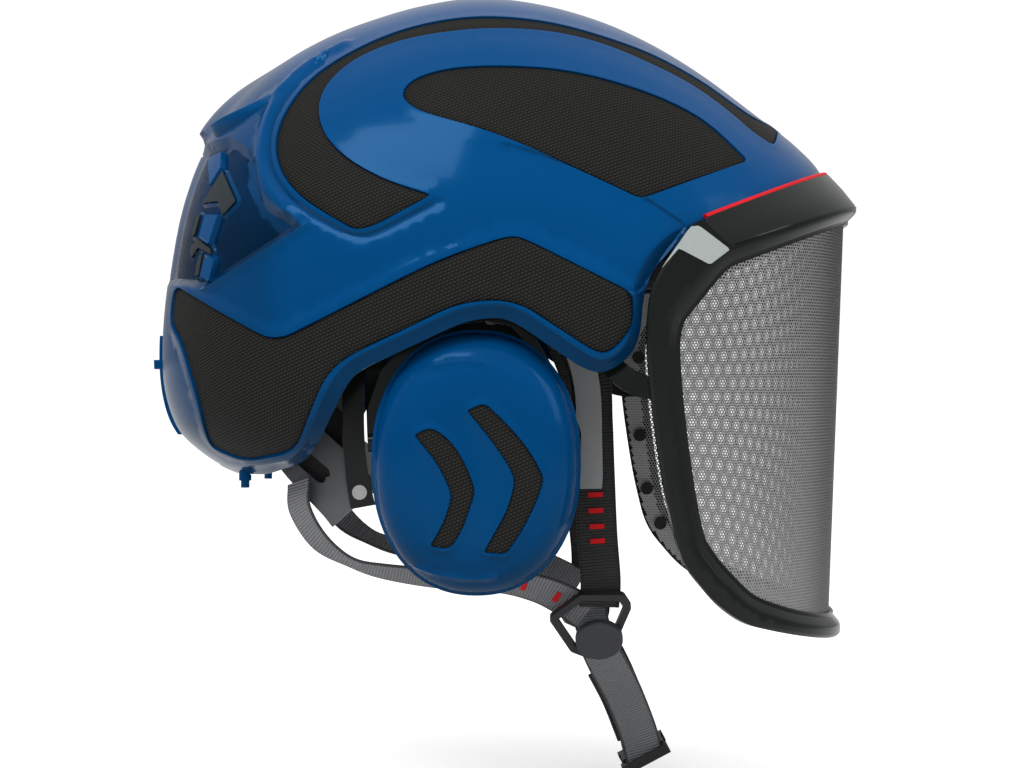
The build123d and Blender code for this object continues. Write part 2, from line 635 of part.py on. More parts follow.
def nape_cradle():
    path, widths = round_the_back(NAPE_PATH, NAPE_WIDTHS)
    band = ribbon(path, widths, 25, 2.6)
    for side in (RIGHT, LEFT):
        slot = SlotOverall(17, 7)
        plane = Plane(origin=(-68, side * 90, -3), x_dir=(0.8, 0, -0.6), z_dir=(0, -side, 0))
        band -= extrude(plane * slot, amount=40)
    housing = box(KNOB_X + 0.3, HOUSING_FRONT_X, -24, 24, KNOB_Z - 14, KNOB_Z + 14)
    housing = fillet(housing.edges().filter_by(Axis.X), 5)
    band += housing
    band -= rod((KNOB_X - 5, 0, KNOB_Z), (KNOB_X + 7.2, 0, KNOB_Z), PINION_PITCH_R + 1.8)
    for z in (KNOB_Z + 8.4, KNOB_Z - 8.4):
        band -= box(KNOB_X + 0.9, KNOB_X + 6.1, -30, 30, z - 3.6, z + 3.6)
    band -= rod((KNOB_X + 7, 0, KNOB_Z), (KNOB_X + 14, 0, KNOB_Z), SHAFT_R + RUNNING_GAP)
    band -= both_sides(rivet_holes())
    return max(band.solids(), key=lambda s: s.volume)


def nape_pad():
    path = []
    for x, y, z in NAPE_PATH:  # towards the head, mostly sideways near the ears
        forward = 2.9 if y < 60 else 1.0
        inward = 2.9 if y > 40 else 1.2 if y > 10 else 0
        path.append((x + forward, y - inward, z + 6))
    path, widths = round_the_back(path, NAPE_WIDTHS)
    pad = ribbon(path, widths, 36, 3.2)
    band_path, band_widths = round_the_back(NAPE_PATH, NAPE_WIDTHS)
    pad -= ribbon(band_path, band_widths, 60, 3.0)
    pad -= box(-120, HOUSING_FRONT_X + 0.1, -26, 26, -5, 40)
    pad &= box(-120, -54, -90, 90, -60, 60)
    return max(pad.solids(), key=lambda s: s.volume)


def gear_face(teeth, pitch_r, module):
    """A spur gear outline with straight-flanked teeth that run with clear backlash."""
    points = []
    pitch = 2 * math.pi / teeth
    for i in range(teeth):
        middle = i * pitch
        root, tip = pitch_r - 1.1 * module, pitch_r + 0.8 * module
        for share, radius in ((-0.30, root), (-0.09, tip), (0.09, tip), (0.30, root)):
            angle = middle + share * pitch
            points.append((radius * math.cos(angle), radius * math.sin(angle)))
    return make_face(Polyline(*points, close=True))


MODULE = 2 * PINION_PITCH_R / PINION_TEETH


def size_pinion():
    plane = Plane(origin=(KNOB_X + 1.2, 0, KNOB_Z), x_dir=(0, 1, 0), z_dir=(1, 0, 0))
    gear = extrude(plane * Rot(0, 0, 90) * gear_face(PINION_TEETH, PINION_PITCH_R, MODULE), amount=4.6)
    shaft = rod((KNOB_X + 1.1, 0, KNOB_Z), (KNOB_X + 9, 0, KNOB_Z), SHAFT_R)
    return gear + shaft + rod((KNOB_X - 1.9, 0, KNOB_Z), (KNOB_X + 1.3, 0, KNOB_Z), 3.0)


def size_rack(side):
    """One end of the size band: a toothed bar above or below the pinion and its tail to the side."""
    up = 1 if side == RIGHT else -1
    pitch = math.pi * MODULE
    z_pitch = KNOB_Z + up * PINION_PITCH_R
    count = 7
    low = z_pitch + up * 1.0 * MODULE
    bar_top = z_pitch + up * 5.6
    length = 46.0
    inner = -side * 15.0
    outer = inner + side * length
    y0, y1, z0, z1 = min(inner, outer), max(inner, outer), min(low, bar_top), max(low, bar_top)
    bar = box(KNOB_X + 1.4, KNOB_X + 5.6, y0, y1, z0, z1)
    for k in range(-count // 2, count // 2 + 1):
        y = (k + 0.5) * pitch
        if min(inner, outer) + 1 < y < max(inner, outer) - 1:
            root_z, tip_z = low + up * 0.1, z_pitch - up * 0.75 * MODULE
            corners = [(-0.30, root_z), (-0.10, tip_z), (0.10, tip_z), (0.30, root_z)]
            tooth = Polyline(*[(y + share * pitch, z) for share, z in corners], close=True)
            plane = Plane(origin=(KNOB_X + 1.4, 0, 0), x_dir=(0, 1, 0), z_dir=(1, 0, 0))
            bar += extrude(plane * make_face(tooth), amount=4.2)
    return bar


def size_knob():
    """The ribbed knob at the nape."""
    knob = rod((KNOB_X - 10, 0, KNOB_Z), (KNOB_X, 0, KNOB_Z), KNOB_R)
    knob = fillet(knob.edges().group_by(Axis.X)[0], 2.0)
    for i in range(18):
        angle = 2 * math.pi * i / 18
        y, z = (KNOB_R + 0.6) * math.cos(angle), (KNOB_R + 0.6) * math.sin(angle)
        knob -= rod((KNOB_X - 11, y, KNOB_Z + z), (KNOB_X + 1, y, KNOB_Z + z), 1.5)
    return knob - rod((KNOB_X - 2, 0, KNOB_Z), (KNOB_X + 1, 0, KNOB_Z), 3.03)


# ---------------------------------------------------------------- straps
# Paths are given for y > 0; widths hold the direction of the webbing's width at every point.
FRONT_STRAP = [
    (30, 76.9, 94), (31.5, 76.6, 74), (38, 75.4, 54), (45.5, 73.4, 33), (46.8, 72, 16), (47.6, 70.6, -4),
    (48.8, 68.6, -30), (50.3, 66.4, -49), (50, 60.9, -60.5),
]
FRONT_WIDTHS = [(1, -0.24, 0)] * 2 + [(1, -0.12, 0)] + [(1, 0, 0)] * 6
REAR_STRAP = [
    (-73.2, 62, -9), (-72.6, 65.6, -20), (-64.5, 68, -33), (-52, 67.6, -41.5), (-38, 66.4, -45.6),
    (-15, 65, -48.5), (9, 64, -49.5), (25, 62.6, -53), (36, 60.4, -58),
]
REAR_WIDTHS = [
    (0.65, 0.76, 0), (0.6, 0.76, 0.2), (0.4, 0.8, 0.4), (0.15, 0.92, 0.3), (0.05, 0.88, 0.45), (0, 0.8, 0.6),
    (0, 0.7, 0.7), (0.25, 0.6, 0.75), (0.35, 0.5, 0.8),
]
LOWER_STRAP = [
    (50, 53, -73), (51.2, 47.9, -80), (55, 40.5, -88), (61.5, 30, -101), (68.5, 19, -119), (71.6, 14.5, -131),
]
LOWER_WIDTHS = [(1, 0, 0)] * 2 + [(0.95, 0, 0.25)] + [(0.88, 0, 0.47)] * 3
STRAP_LAYER_GAP = 3.4


def webbing(path, widths, width=WEBBING_WIDTH):
    """A strap on the right-hand side."""
    return ribbon(on_side(path, RIGHT), on_side(widths, RIGHT), width, WEBBING_THICKNESS)


def front_straps():
    strap = webbing(FRONT_STRAP, FRONT_WIDTHS)
    return both_sides(strap - rivet_holes())


def rear_straps():
    strap = webbing(REAR_STRAP, REAR_WIDTHS, 15.5)
    return both_sides(strap)


def lower_strap():
    """One strap half from the divider through the buckle's eye, and its inner layer running back up."""
    outer = webbing(LOWER_STRAP, LOWER_WIDTHS)
    g = STRAP_LAYER_GAP
    path = [(x - g * 0.35, y - g * 0.8, z - g * 0.3) for x, y, z in LOWER_STRAP[2:5]]
    inner = webbing(path, LOWER_WIDTHS[2:5])
    return [outer, inner]


def front_strap_guides():
    """Moulded blades that lead the front straps past the ear cups."""
    gaps = [2.5, 2.5, 2.0, 1.8, 1.8, 1.8]
    points = [(x - 1.5, y + gap, z) for (x, y, z), gap in zip(FRONT_STRAP, gaps)] + [(46.2, 72, -11.5)]
    tapering = [13, 12, 11, 10.4, 10.4, 9.6, 8.6]
    blade = ribbon(on_side(points, RIGHT), on_side(FRONT_WIDTHS[:7], RIGHT), tapering, 1.5)
    return both_sides(blade - rivet_holes())


REAR_GUIDE = [
    (-50, 67.6, 94), (-50, 67.8, 72), (-50.2, 69.6, 50), (-50.4, 70.6, 30), (-50.3, 70.8, 12),
    (-49.2, 70.3, -4),
    (-46.5, 69.4, -19),
]


def rear_strap_guides():
    """Blades between the headband and the front ends of the nape cradle."""
    widths = [(1, 0.53, 0)] * 2 + [(1, 0.25, 0)] + [(1, 0, 0)] * 4
    blade = ribbon(on_side(REAR_GUIDE, RIGHT), on_side(widths, RIGHT), [13, 12, 10, 9, 8.6, 9, 10], 1.6)
    return both_sides(blade - rivet_holes())


RIVETS = [  # start inside, end outside, for y > 0: front strap, rear guide, nape cradle
    ((29.1, 72.9, 86), (30.9, 81.5, 86)),
    ((-48.0, 63.2, 86), (-51.4, 69.8, 86)),
    ((-47.8, 63.2, -13), (-47.8, 72.2, -13)),
]
RIVET_R, RIVET_HEAD_R, RIVET_HEAD = 1.6, 3.0, 0.9


def rivet_holes(clearance=0.02):
    return [rod(*on_side(ends, RIGHT), RIVET_R + clearance) for ends in RIVETS]


def strap_rivets():
    made = []
    for ends in RIVETS:
        start, end = on_side(ends, RIGHT)
        direction = (Vector(*end) - Vector(*start)).normalized()
        inner_face = Vector(*start) + direction * RIVET_HEAD
        outer_face = Vector(*end) - direction * RIVET_HEAD
        heads = rod(start, inner_face, RIVET_HEAD_R) + rod(outer_face, end, RIVET_HEAD_R)
        made.append(rod(start, end, RIVET_R) + heads)
    return both_sides(made)


DIVIDER_CENTRE = (47.5, -57.5, -66.5)
DIVIDER_TILT = 33.0


def divider_plane(lift=0.0):
    """The plane of the right-hand divider, tilted in towards the jaw."""
    normal = Vector(0, -math.cos(math.radians(DIVIDER_TILT)), -math.sin(math.radians(DIVIDER_TILT)))
    return Plane(origin=Vector(*DIVIDER_CENTRE) + normal * lift, x_dir=(1, 0, 0), z_dir=normal)


DIVIDER_OUTLINE = [(-18.5, 4), (-5.5, 16.5), (12, 16.5), (15.5, 10), (9, -11), (-1, -17.5), (-9, -13.5)]


def strap_dividers():
    """Rounded triangular rings that join front and rear strap, with a cross bar under the cap."""
    outer = fillet(make_face(Polyline(*DIVIDER_OUTLINE, close=True)).vertices(), 2.6)
    hole = offset(outer, amount=-3.0)
    ring = extrude(divider_plane(1.4) * (outer - hole), amount=2.8)
    bridge = extrude(divider_plane(1.4) * (Pos(2.5, -6.5) * Circle(8.2) & outer), amount=2.0)
    return both_sides(ring + bridge)


def divider_caps():
    """Round snap caps over the crossing straps."""
    disc = extrude(divider_plane(4.3) * Pos(2.5, -5.5) * Circle(9.8), amount=3.4)
    disc = fillet(disc.edges().group_by(Axis.Y)[0], 1.2)
    return both_sides(disc)


def in_buckle(part):
    """Places a part modelled about the buckle's own centre, its length along Y."""
    return Pos(*BUCKLE_CENTRE) * Rot(0, -BUCKLE_TILT, 0) * part


def strap_loop(side):
    """The eye at one end of the buckle that the webbing wraps round."""
    frame = box(-11, 11, side * 10.2, side * 19, -2, 2)
    return frame - box(-8.8, 8.8, side * 12.6, side * 16.4, -5, 5)


RAIL_NECK, RAIL_HEAD, RAIL_GAP = 0.8, 1.8, 0.15  # half heights of the slide rail, and its play


def rail(x0, x1, play):
    """The T-shaped rail on which the two buckle halves slide past each other."""
    neck = box(x0, x1, -1.6, 2.3, -RAIL_NECK - play, RAIL_NECK + play)
    return neck + box(x0, x1, 2.2 - play, 5.0 + play, -RAIL_HEAD - play, RAIL_HEAD + play)


def buckle_base():
    """The half with the T-slot, open at its front end, and a pocket for the magnet."""
    body = fillet(box(-10, 10, -1.2, 10.4, -3.2, 3.2).edges().filter_by(Axis.Y), 1.6)
    pocket = rod((0, 7.7, -3.4), (0, 7.7, -0.4), 2.03)
    return in_buckle(body + strap_loop(LEFT) - rail(-8.4, 12, RAIL_GAP) - pocket)


def buckle_tongue():
    """The half with the rail: it slides forward out of the slot."""
    body = fillet(box(-10, 10, -10.4, -1.5, -3.2, 3.2).edges().filter_by(Axis.Y), 1.6)
    return in_buckle(body + strap_loop(RIGHT) + rail(-8.2, 8.6, 0))


def buckle_magnet():
    return in_buckle(rod((0, 7.7, -3.1), (0, 7.7, -0.5), 2.0))


# ---------------------------------------------------------------- assembly
keep("outer_shell", outer_shell())
keep("side_bands", inlay(SIDE_BAND))
keep("crown_bands", inlay(CROWN_BAND))
keep("temple_inlays", inlay(TEMPLE_INLAY))
keep("vent_grilles", vent_grilles())
keep("rear_clip", rear_clip())
keep("cape_hooks", cape_hooks())
keep("impact_liner", impact_liner())
keep("headband", headband())
keep("brow_pad", brow_pad())
keep("cradle_straps", cradle_straps())
keep("crown_pad", crown_pad())
keep("headband_hangers", headband_hangers())
keep("side_brackets", side_brackets())

ear_parts()

keep("visor_frame", visor_frame())
keep("visor_seal", visor_seal())
keep("visor_mesh", visor_mesh())
keep("visor_arms", both_sides(visor_arm()))
keep("visor_arm_pins", both_sides(visor_arm_pins()))
keep("visor_arm_screws", both_sides(visor_arm_screws()))
keep("mesh_clips", both_sides(Compound(children=solids_of(mesh_clips()))))

keep("nape_cradle", nape_cradle())
keep("nape_pad", nape_pad())
keep("size_pinion", size_pinion())
keep("size_knob", size_knob())
keep("size_rack_right", size_rack(RIGHT))
keep("size_rack_left", size_rack(LEFT))

keep("front_straps", front_straps())
keep("rear_straps", rear_straps())
keep("lower_strap_right", lower_strap())
keep("lower_strap_left", mirror(Compound(children=lower_strap()), about=Plane.XZ))
keep("strap_rivets", strap_rivets())
keep("front_strap_guides", front_strap_guides())
keep("rear_strap_guides", rear_strap_guides())
keep("strap_dividers", strap_dividers())
keep("divider_caps", divider_caps())
keep("buckle_base", buckle_base())
keep("buckle_tongue", buckle_tongue())
keep("buckle_magnet", buckle_magnet())

os.makedirs("parts", exist_ok=True)
for old in os.listdir("parts"):
    os.remove(os.path.join("parts", old))
for name, shape in PARTS.items():
    export_step(shape, f"parts/{name}.step")
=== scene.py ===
"""Looks of the forestry helmet. Shapes are worked out in millimetres and written in metres."""
import math
import bmesh
import bpy
import numpy as np
from mathutils import Matrix, Vector
from mathutils.geometry import delaunay_2d_cdt


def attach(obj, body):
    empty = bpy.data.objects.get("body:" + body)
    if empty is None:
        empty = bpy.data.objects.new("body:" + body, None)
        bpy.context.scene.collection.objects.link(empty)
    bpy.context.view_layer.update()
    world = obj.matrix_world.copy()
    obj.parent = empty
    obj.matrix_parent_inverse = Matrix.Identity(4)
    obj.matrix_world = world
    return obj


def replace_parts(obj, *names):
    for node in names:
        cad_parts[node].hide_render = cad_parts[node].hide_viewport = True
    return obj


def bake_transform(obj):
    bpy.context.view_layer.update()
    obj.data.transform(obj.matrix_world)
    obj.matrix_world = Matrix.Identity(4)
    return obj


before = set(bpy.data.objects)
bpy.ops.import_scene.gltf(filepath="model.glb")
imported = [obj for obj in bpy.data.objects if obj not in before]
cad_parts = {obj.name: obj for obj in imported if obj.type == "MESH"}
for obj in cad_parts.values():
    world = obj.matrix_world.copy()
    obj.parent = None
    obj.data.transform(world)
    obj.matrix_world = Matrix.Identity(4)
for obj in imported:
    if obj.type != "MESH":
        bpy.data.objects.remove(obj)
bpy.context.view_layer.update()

MM = 0.001
TINY = 1e-12  # keeps a division away from zero
CHUNK = 4000  # points compared with a line at a time
RIGHT, LEFT = -1, 1
SIDES = (("right", RIGHT), ("left", LEFT))


# ---------------------------------------------------------------- curves and outlines
def smooth_loop(points, per_span=14):
    """A closed centripetal Catmull-Rom curve through the points."""
    p = np.array(points, float)
    n = len(p)
    out = []
    for i in range(n):
        a, b, c, d = (p[(i + k) % n] for k in (-1, 0, 1, 2))
        ta = 0.0
        tb = ta + math.sqrt(np.linalg.norm(b - a))
        tc = tb + math.sqrt(np.linalg.norm(c - b))
        td = tc + math.sqrt(np.linalg.norm(d - c))
        for t in np.linspace(tb, tc, per_span, endpoint=False):
            ab = a * (tb - t) / (tb - ta) + b * (t - ta) / (tb - ta)
            bc = b * (tc - t) / (tc - tb) + c * (t - tb) / (tc - tb)
            cd = c * (td - t) / (td - tc) + d * (t - tc) / (td - tc)
            abc = ab * (tc - t) / (tc - ta) + bc * (t - ta) / (tc - ta)
            bcd = bc * (td - t) / (td - tb) + cd * (t - tb) / (td - tb)
            out.append(abc * (tc - t) / (tc - tb) + bcd * (t - tb) / (tc - tb))
    return np.array(out)


def resample(line, step, closed=True):
    """Evenly spaced points along a polyline."""
    p = np.vstack([line, line[:1]]) if closed else np.asarray(line, float)
    lengths = np.linalg.norm(np.diff(p, axis=0), axis=1)
    along = np.concatenate([[0], np.cumsum(lengths)])
    count = max(4, int(round(along[-1] / step)))
    at = np.linspace(0, along[-1], count, endpoint=not closed)
    return np.column_stack([np.interp(at, along, p[:, k]) for k in range(p.shape[1])])


def rounded(points, radius=4.0, closed=True, arc=5):
    """A polygon with rounded corners; a point may carry its own corner size as a third number."""
    pts = [np.array(p[:2], float) for p in points]
    sizes = [p[2] if len(p) > 2 else radius for p in points]
    out = []
    n = len(pts)
    for i in range(n):
        if not closed and i in (0, n - 1):
            out.append(pts[i])
            continue
        a, b, c = pts[i - 1], pts[i], pts[(i + 1) % n]
        la, lc = np.linalg.norm(a - b), np.linalg.norm(c - b)
        ra, rc = min(sizes[i], la * 0.48), min(sizes[i], lc * 0.48)
        start, end = b + (a - b) / la * ra, b + (c - b) / lc * rc
        for t in np.linspace(0, 1, arc):
            out.append((1 - t) ** 2 * start + 2 * t * (1 - t) * b + t * t * end)
    return np.array(out)


def shoelace(line):
    x, y = line[:, 0], line[:, 1]
    return 0.5 * np.sum(x * np.roll(y, -1) - np.roll(x, -1) * y)


def unit(vectors):
    """The vectors, one a row, at length 1."""
    return vectors / (np.linalg.norm(vectors, axis=1)[:, None] + TINY)


def offset_loop(line, distance):
    """The closed line moved outwards by distance."""
    line = line if shoelace(line) > 0 else line[::-1]
    tangent = unit(np.roll(line, -1, axis=0) - np.roll(line, 1, axis=0))
    return line + np.column_stack([tangent[:, 1], -tangent[:, 0]]) * distance


def signed_distance(points, loop):
    """Distance of each point from a closed loop, negative inside it."""
    a, b = loop, np.roll(loop, -1, axis=0)
    result = np.empty(len(points))
    for start in range(0, len(points), CHUNK):
        p = points[start:start + CHUNK, None, :]
        ab = (b - a)[None]
        t = np.clip(np.sum((p - a[None]) * ab, axis=2) / (np.sum(ab * ab, axis=2) + TINY), 0, 1)
        gap = np.linalg.norm(p - (a[None] + ab * t[..., None]), axis=2).min(axis=1)
        py, px = p[..., 1], p[..., 0]
        crosses = (a[None, :, 1] > py) != (b[None, :, 1] > py)
        slope = (b[:, 0] - a[:, 0]) / (b[:, 1] - a[:, 1] + TINY)
        left_of = px < a[None, :, 0] + (py - a[None, :, 1]) * slope[None]
        inside = np.sum(crosses & left_of, axis=1) % 2 == 1
        result[start:start + CHUNK] = np.where(inside, -gap, gap)
    return result


def line_distance(points, line):
    """Distance of each point from an open polyline, and how far along it (0 to 1) the nearest spot is."""
    a, b = line[:-1], line[1:]
    lengths = np.linalg.norm(b - a, axis=1)
    along = np.concatenate([[0], np.cumsum(lengths)])
    ab = (b - a)[None]
    p = points[:, None, :]
    t = np.clip(np.sum((p - a[None]) * ab, axis=2) / (lengths[None] ** 2 + TINY), 0, 1)
    gap = np.linalg.norm(p - (a[None] + ab * t[..., None]), axis=2)
    best = gap.argmin(axis=1)
    rows = np.arange(len(points))
    return gap[rows, best], (along[best] + t[rows, best] * lengths[best]) / along[-1]


def ramp(value, start, end):
    """0 before start, 1 after end, smooth between."""
    t = np.clip((np.asarray(value, float) - start) / (end - start), 0, 1)
    return t * t * (3 - 2 * t)


def within(uv, loop, start, end):
    """1 inside a closed loop, fading to 0 between two distances outside its line."""
    return 1 - ramp(signed_distance(uv, loop), start, end)


def ridge(uv, line, rise, width):
    """A rounded ridge along an open line, or a groove where the rise is negative."""
    gap, _ = line_distance(uv, line)
    return rise * np.exp(-(gap / width) ** 2)


# ---------------------------------------------------------------- curved forms
class Form:
    """A closed-section form seen from the side: a silhouette about a centre and a section from pole to rim.

    Its map is a flat picture of one half in which distances are close to those on the surface."""

    def __init__(self, silhouette, centre, section, mean_radius):
        self.cx, self.cz = centre
        d = silhouette - np.array(centre)
        angle = np.arctan2(d[:, 1], d[:, 0])
        order = np.argsort(angle)
        self.angles, self.radii = angle[order], np.hypot(d[:, 0], d[:, 1])[order]
        self.g, self.y = section[:, 0], section[:, 1]
        steps = np.hypot(np.diff(self.g) * mean_radius, np.diff(self.y))
        self.rho = np.concatenate([[0], np.cumsum(steps)]) / mean_radius
        self.limit = self.rho[-1]

    def radius(self, angle):
        return np.interp(angle, self.angles, self.radii, period=2 * math.pi)

    def to_map(self, side_view):
        d = np.asarray(side_view, float) - np.array([self.cx, self.cz])
        angle = np.arctan2(d[:, 1], d[:, 0])
        reach = self.radius(angle)
        g = np.hypot(d[:, 0], d[:, 1]) / reach
        rho = np.where(g <= 1, np.interp(g, self.g, self.rho), self.limit + (g - 1))
        return np.column_stack([np.cos(angle), np.sin(angle)]) * (rho * reach)[:, None]

    def polar(self, uv):
        angle = np.arctan2(uv[:, 1], uv[:, 0])
        reach = self.radius(angle)
        return angle, reach, np.hypot(uv[:, 0], uv[:, 1]) / reach

    def holds(self, uv, share=1.0):
        """Which map points lie inside the rim, or inside a share of its reach."""
        _, _, rho = self.polar(uv)
        return rho < self.limit * share

    def point(self, uv):
        """(x, distance from the symmetry plane, z) of map points."""
        angle, reach, rho = self.polar(uv)
        g, y = np.interp(rho, self.rho, self.g), np.interp(rho, self.rho, self.y)
        return np.column_stack([self.cx + g * reach * np.cos(angle), y, self.cz + g * reach * np.sin(angle)])

    def normal(self, uv, eps=0.4):
        """Outward unit normals of map points, by differences."""
        _, reach, _ = self.polar(uv)
        du, dv = np.array([eps, 0]), np.array([0, eps])
        room = (self.limit * reach - 2 * eps) / (np.hypot(uv[:, 0], uv[:, 1]) + 1e-9)
        inner = uv * np.minimum(1, room)[:, None]
        a = self.point(inner + du) - self.point(inner - du)
        b = self.point(inner + dv) - self.point(inner - dv)
        return unit(np.cross(b, a))


def clip_loop(form, loop):
    """A closed loop on the form's map as open or closed lines, cut where it leaves the form."""
    inside = form.holds(loop, 0.9995)
    if inside.all():
        return [(loop, True)]
    pieces = []
    for start in range(len(loop)):
        if not inside[start] or inside[start - 1]:
            continue
        run = [rim_crossing(form, loop[start - 1], loop[start])]
        i = start
        while inside[i % len(loop)]:
            run.append(loop[i % len(loop)])
            i += 1
        run.append(rim_crossing(form, loop[i % len(loop)], loop[i % len(loop) - 1]))
        pieces.append((np.array(run), False))
    return pieces


def rim_crossing(form, outside, inside):
    """The point on the form's rim between a map point outside it and one inside."""
    low, high = 0.0, 1.0
    for _ in range(30):
        t = (low + high) / 2
        p = outside + (inside - outside) * t
        low, high = (low, t) if form.holds(p[None])[0] else (t, high)
    return p


def rim_loop(form, extra_points, step=2.5):
    """The form's rim on its map, with the given crossing points worked in."""
    angles = list(np.arange(0, 2 * math.pi, step / 140.0))
    for p in extra_points:
        a = math.atan2(p[1], p[0]) % (2 * math.pi)
        angles = [b for b in angles if abs((b - a + math.pi) % (2 * math.pi) - math.pi) > 0.5 * step / 140.0]
        angles.append(a)
    angles = np.array(sorted(angles))
    reach = form.limit * form.radius(angles)
    return np.column_stack([np.cos(angles) * reach, np.sin(angles) * reach])


def triangulate(lines, spacing, keep):
    """A triangle mesh on the map that has every line as edges: keep says which triangles stay."""
    verts, edges = [], []
    for line, closed in lines:
        first = len(verts)
        verts += [tuple(p) for p in line]
        edges += [(first + i, first + i + 1) for i in range(len(line) - 1)]
        if closed:
            edges.append((first + len(line) - 1, first))
    everything = np.array(verts)
    low, high = everything.min(axis=0), everything.max(axis=0)
    rows = np.arange(low[1], high[1], spacing * 0.866)
    grid = []
    for k, v in enumerate(rows):
        u = np.arange(low[0] + (k % 2) * spacing / 2, high[0], spacing)
        grid.append(np.column_stack([u, np.full(len(u), v)]))
    grid = np.vstack(grid)
    grid = grid[keep(grid)]
    near = np.full(len(grid), 1e9)
    for start in range(0, len(grid), 500):
        gap = np.linalg.norm(grid[start:start + 500, None] - everything[None], axis=2)
        near[start:start + 500] = gap.min(axis=1)
    verts += [tuple(p) for p in grid[near > spacing * 0.55]]
    out = delaunay_2d_cdt([Vector(v) for v in verts], edges, [], 0, 1e-4)
    uv = np.array([tuple(v) for v in out[0]])
    tris = np.array([f for f in out[2] if len(f) == 3])
    centre = uv[tris].mean(axis=1)
    tris = tris[keep(centre)]
    used = np.unique(tris)
    index = np.full(len(uv), -1)
    index[used] = np.arange(len(used))
    uv, tris = uv[used], index[tris]
    a, b, c = uv[tris[:, 0]], uv[tris[:, 1]], uv[tris[:, 2]]
    area = (b[:, 0] - a[:, 0]) * (c[:, 1] - a[:, 1]) - (b[:, 1] - a[:, 1]) * (c[:, 0] - a[:, 0])
    tris[area < 0] = tris[area < 0][:, ::-1]
    return uv, tris[np.abs(area) > 1e-7]


def boundary_edges(tris):
    """Directed edges that belong to one triangle only."""
    directed = np.vstack([tris[:, [0, 1]], tris[:, [1, 2]], tris[:, [2, 0]]])
    seen = {tuple(e) for e in directed}
    return [tuple(e) for e in directed if (e[1], e[0]) not in seen]


# ---------------------------------------------------------------- objects
def new_object(name, verts_mm, faces, material, body, uv=None):
    """A mesh object from vertices in millimetres, riding on a CAD body."""
    mesh = bpy.data.meshes.new(name)
    mesh.from_pydata((np.asarray(verts_mm, float) * MM).tolist(), [], [tuple(map(int, f)) for f in faces])
    mesh.update()
    if uv is not None:
        layer = mesh.attributes.new("flat", "FLOAT_VECTOR", "POINT")
        flat = np.zeros((len(verts_mm), 3))
        flat[:, :2] = np.asarray(uv) * MM
        layer.data.foreach_set("vector", flat.ravel())
    obj = bpy.data.objects.new(name, mesh)
    bpy.context.scene.collection.objects.link(obj)
    mesh.materials.append(material)
    if body:
        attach(obj, body)
    return obj


def stored_map(mesh):
    """The map points, in millimetres, that new_object stored on the mesh."""
    flat = np.empty(len(mesh.vertices) * 3)
    mesh.attributes["flat"].data.foreach_get("vector", flat)
    return flat.reshape(-1, 3)[:, :2] / MM


def shade(obj, angle=32.0):
    """Smooth shading with sharp edges above the angle."""
    mesh = obj.data
    mesh.polygons.foreach_set("use_smooth", [True] * len(mesh.polygons))
    mesh.set_sharp_from_angle(angle=math.radians(angle))


def exact_normals(obj, normals, limit=6.0):
    """Replaces shading normals by the given vertex normals wherever both nearly agree."""
    mesh = obj.data
    loops = np.empty(len(mesh.loops), int)
    mesh.loops.foreach_get("vertex_index", loops)
    current = np.empty(len(mesh.loops) * 3)
    mesh.corner_normals.foreach_get("vector", current)
    current = current.reshape(-1, 3)
    wanted = normals[loops]
    agree = np.sum(current * wanted, axis=1) > math.cos(math.radians(limit))
    current[agree] = wanted[agree]
    mesh.normals_split_custom_set(current.tolist())


NUDGE = 0.35  # map distance over which a displaced surface's slope is taken
MIRROR = np.array([1, -1, 1])


def displaced_normals(form, uv, height):
    """Directions across the form's displaced surface at map points, by differences."""
    _, reach, _ = form.polar(uv)
    around = []
    for du, dv in ((NUDGE, 0), (-NUDGE, 0), (0, NUDGE), (0, -NUDGE)):
        q = uv + np.array([du, dv])
        over = np.hypot(q[:, 0], q[:, 1]) / (reach * form.limit)
        q = q / np.maximum(over, 1)[:, None]
        around.append(form.point(q) + form.normal(q) * height(q)[:, None])
    return np.cross(around[2] - around[3], around[0] - around[1])


def welded(name, half, faces, normals, flat, seam):
    """Both halves of a plate as one closed mesh, sharing the points on the symmetry plane."""
    count = len(half)
    shared = np.concatenate([seam, seam])
    other = np.arange(count) + count
    other[shared] = np.arange(count)[shared]
    verts = np.vstack([half * MIRROR, half])
    faces = faces + [tuple(int(other[i]) for i in reversed(f)) for f in faces]
    used = np.unique(np.concatenate([np.array(f) for f in faces]))
    index = np.full(len(verts), -1)
    index[used] = np.arange(len(used))
    faces = [tuple(int(index[i]) for i in f) for f in faces]
    normals = np.vstack([normals * MIRROR, normals])
    return name, verts[used], faces, normals[used], np.vstack([flat, flat])[used]


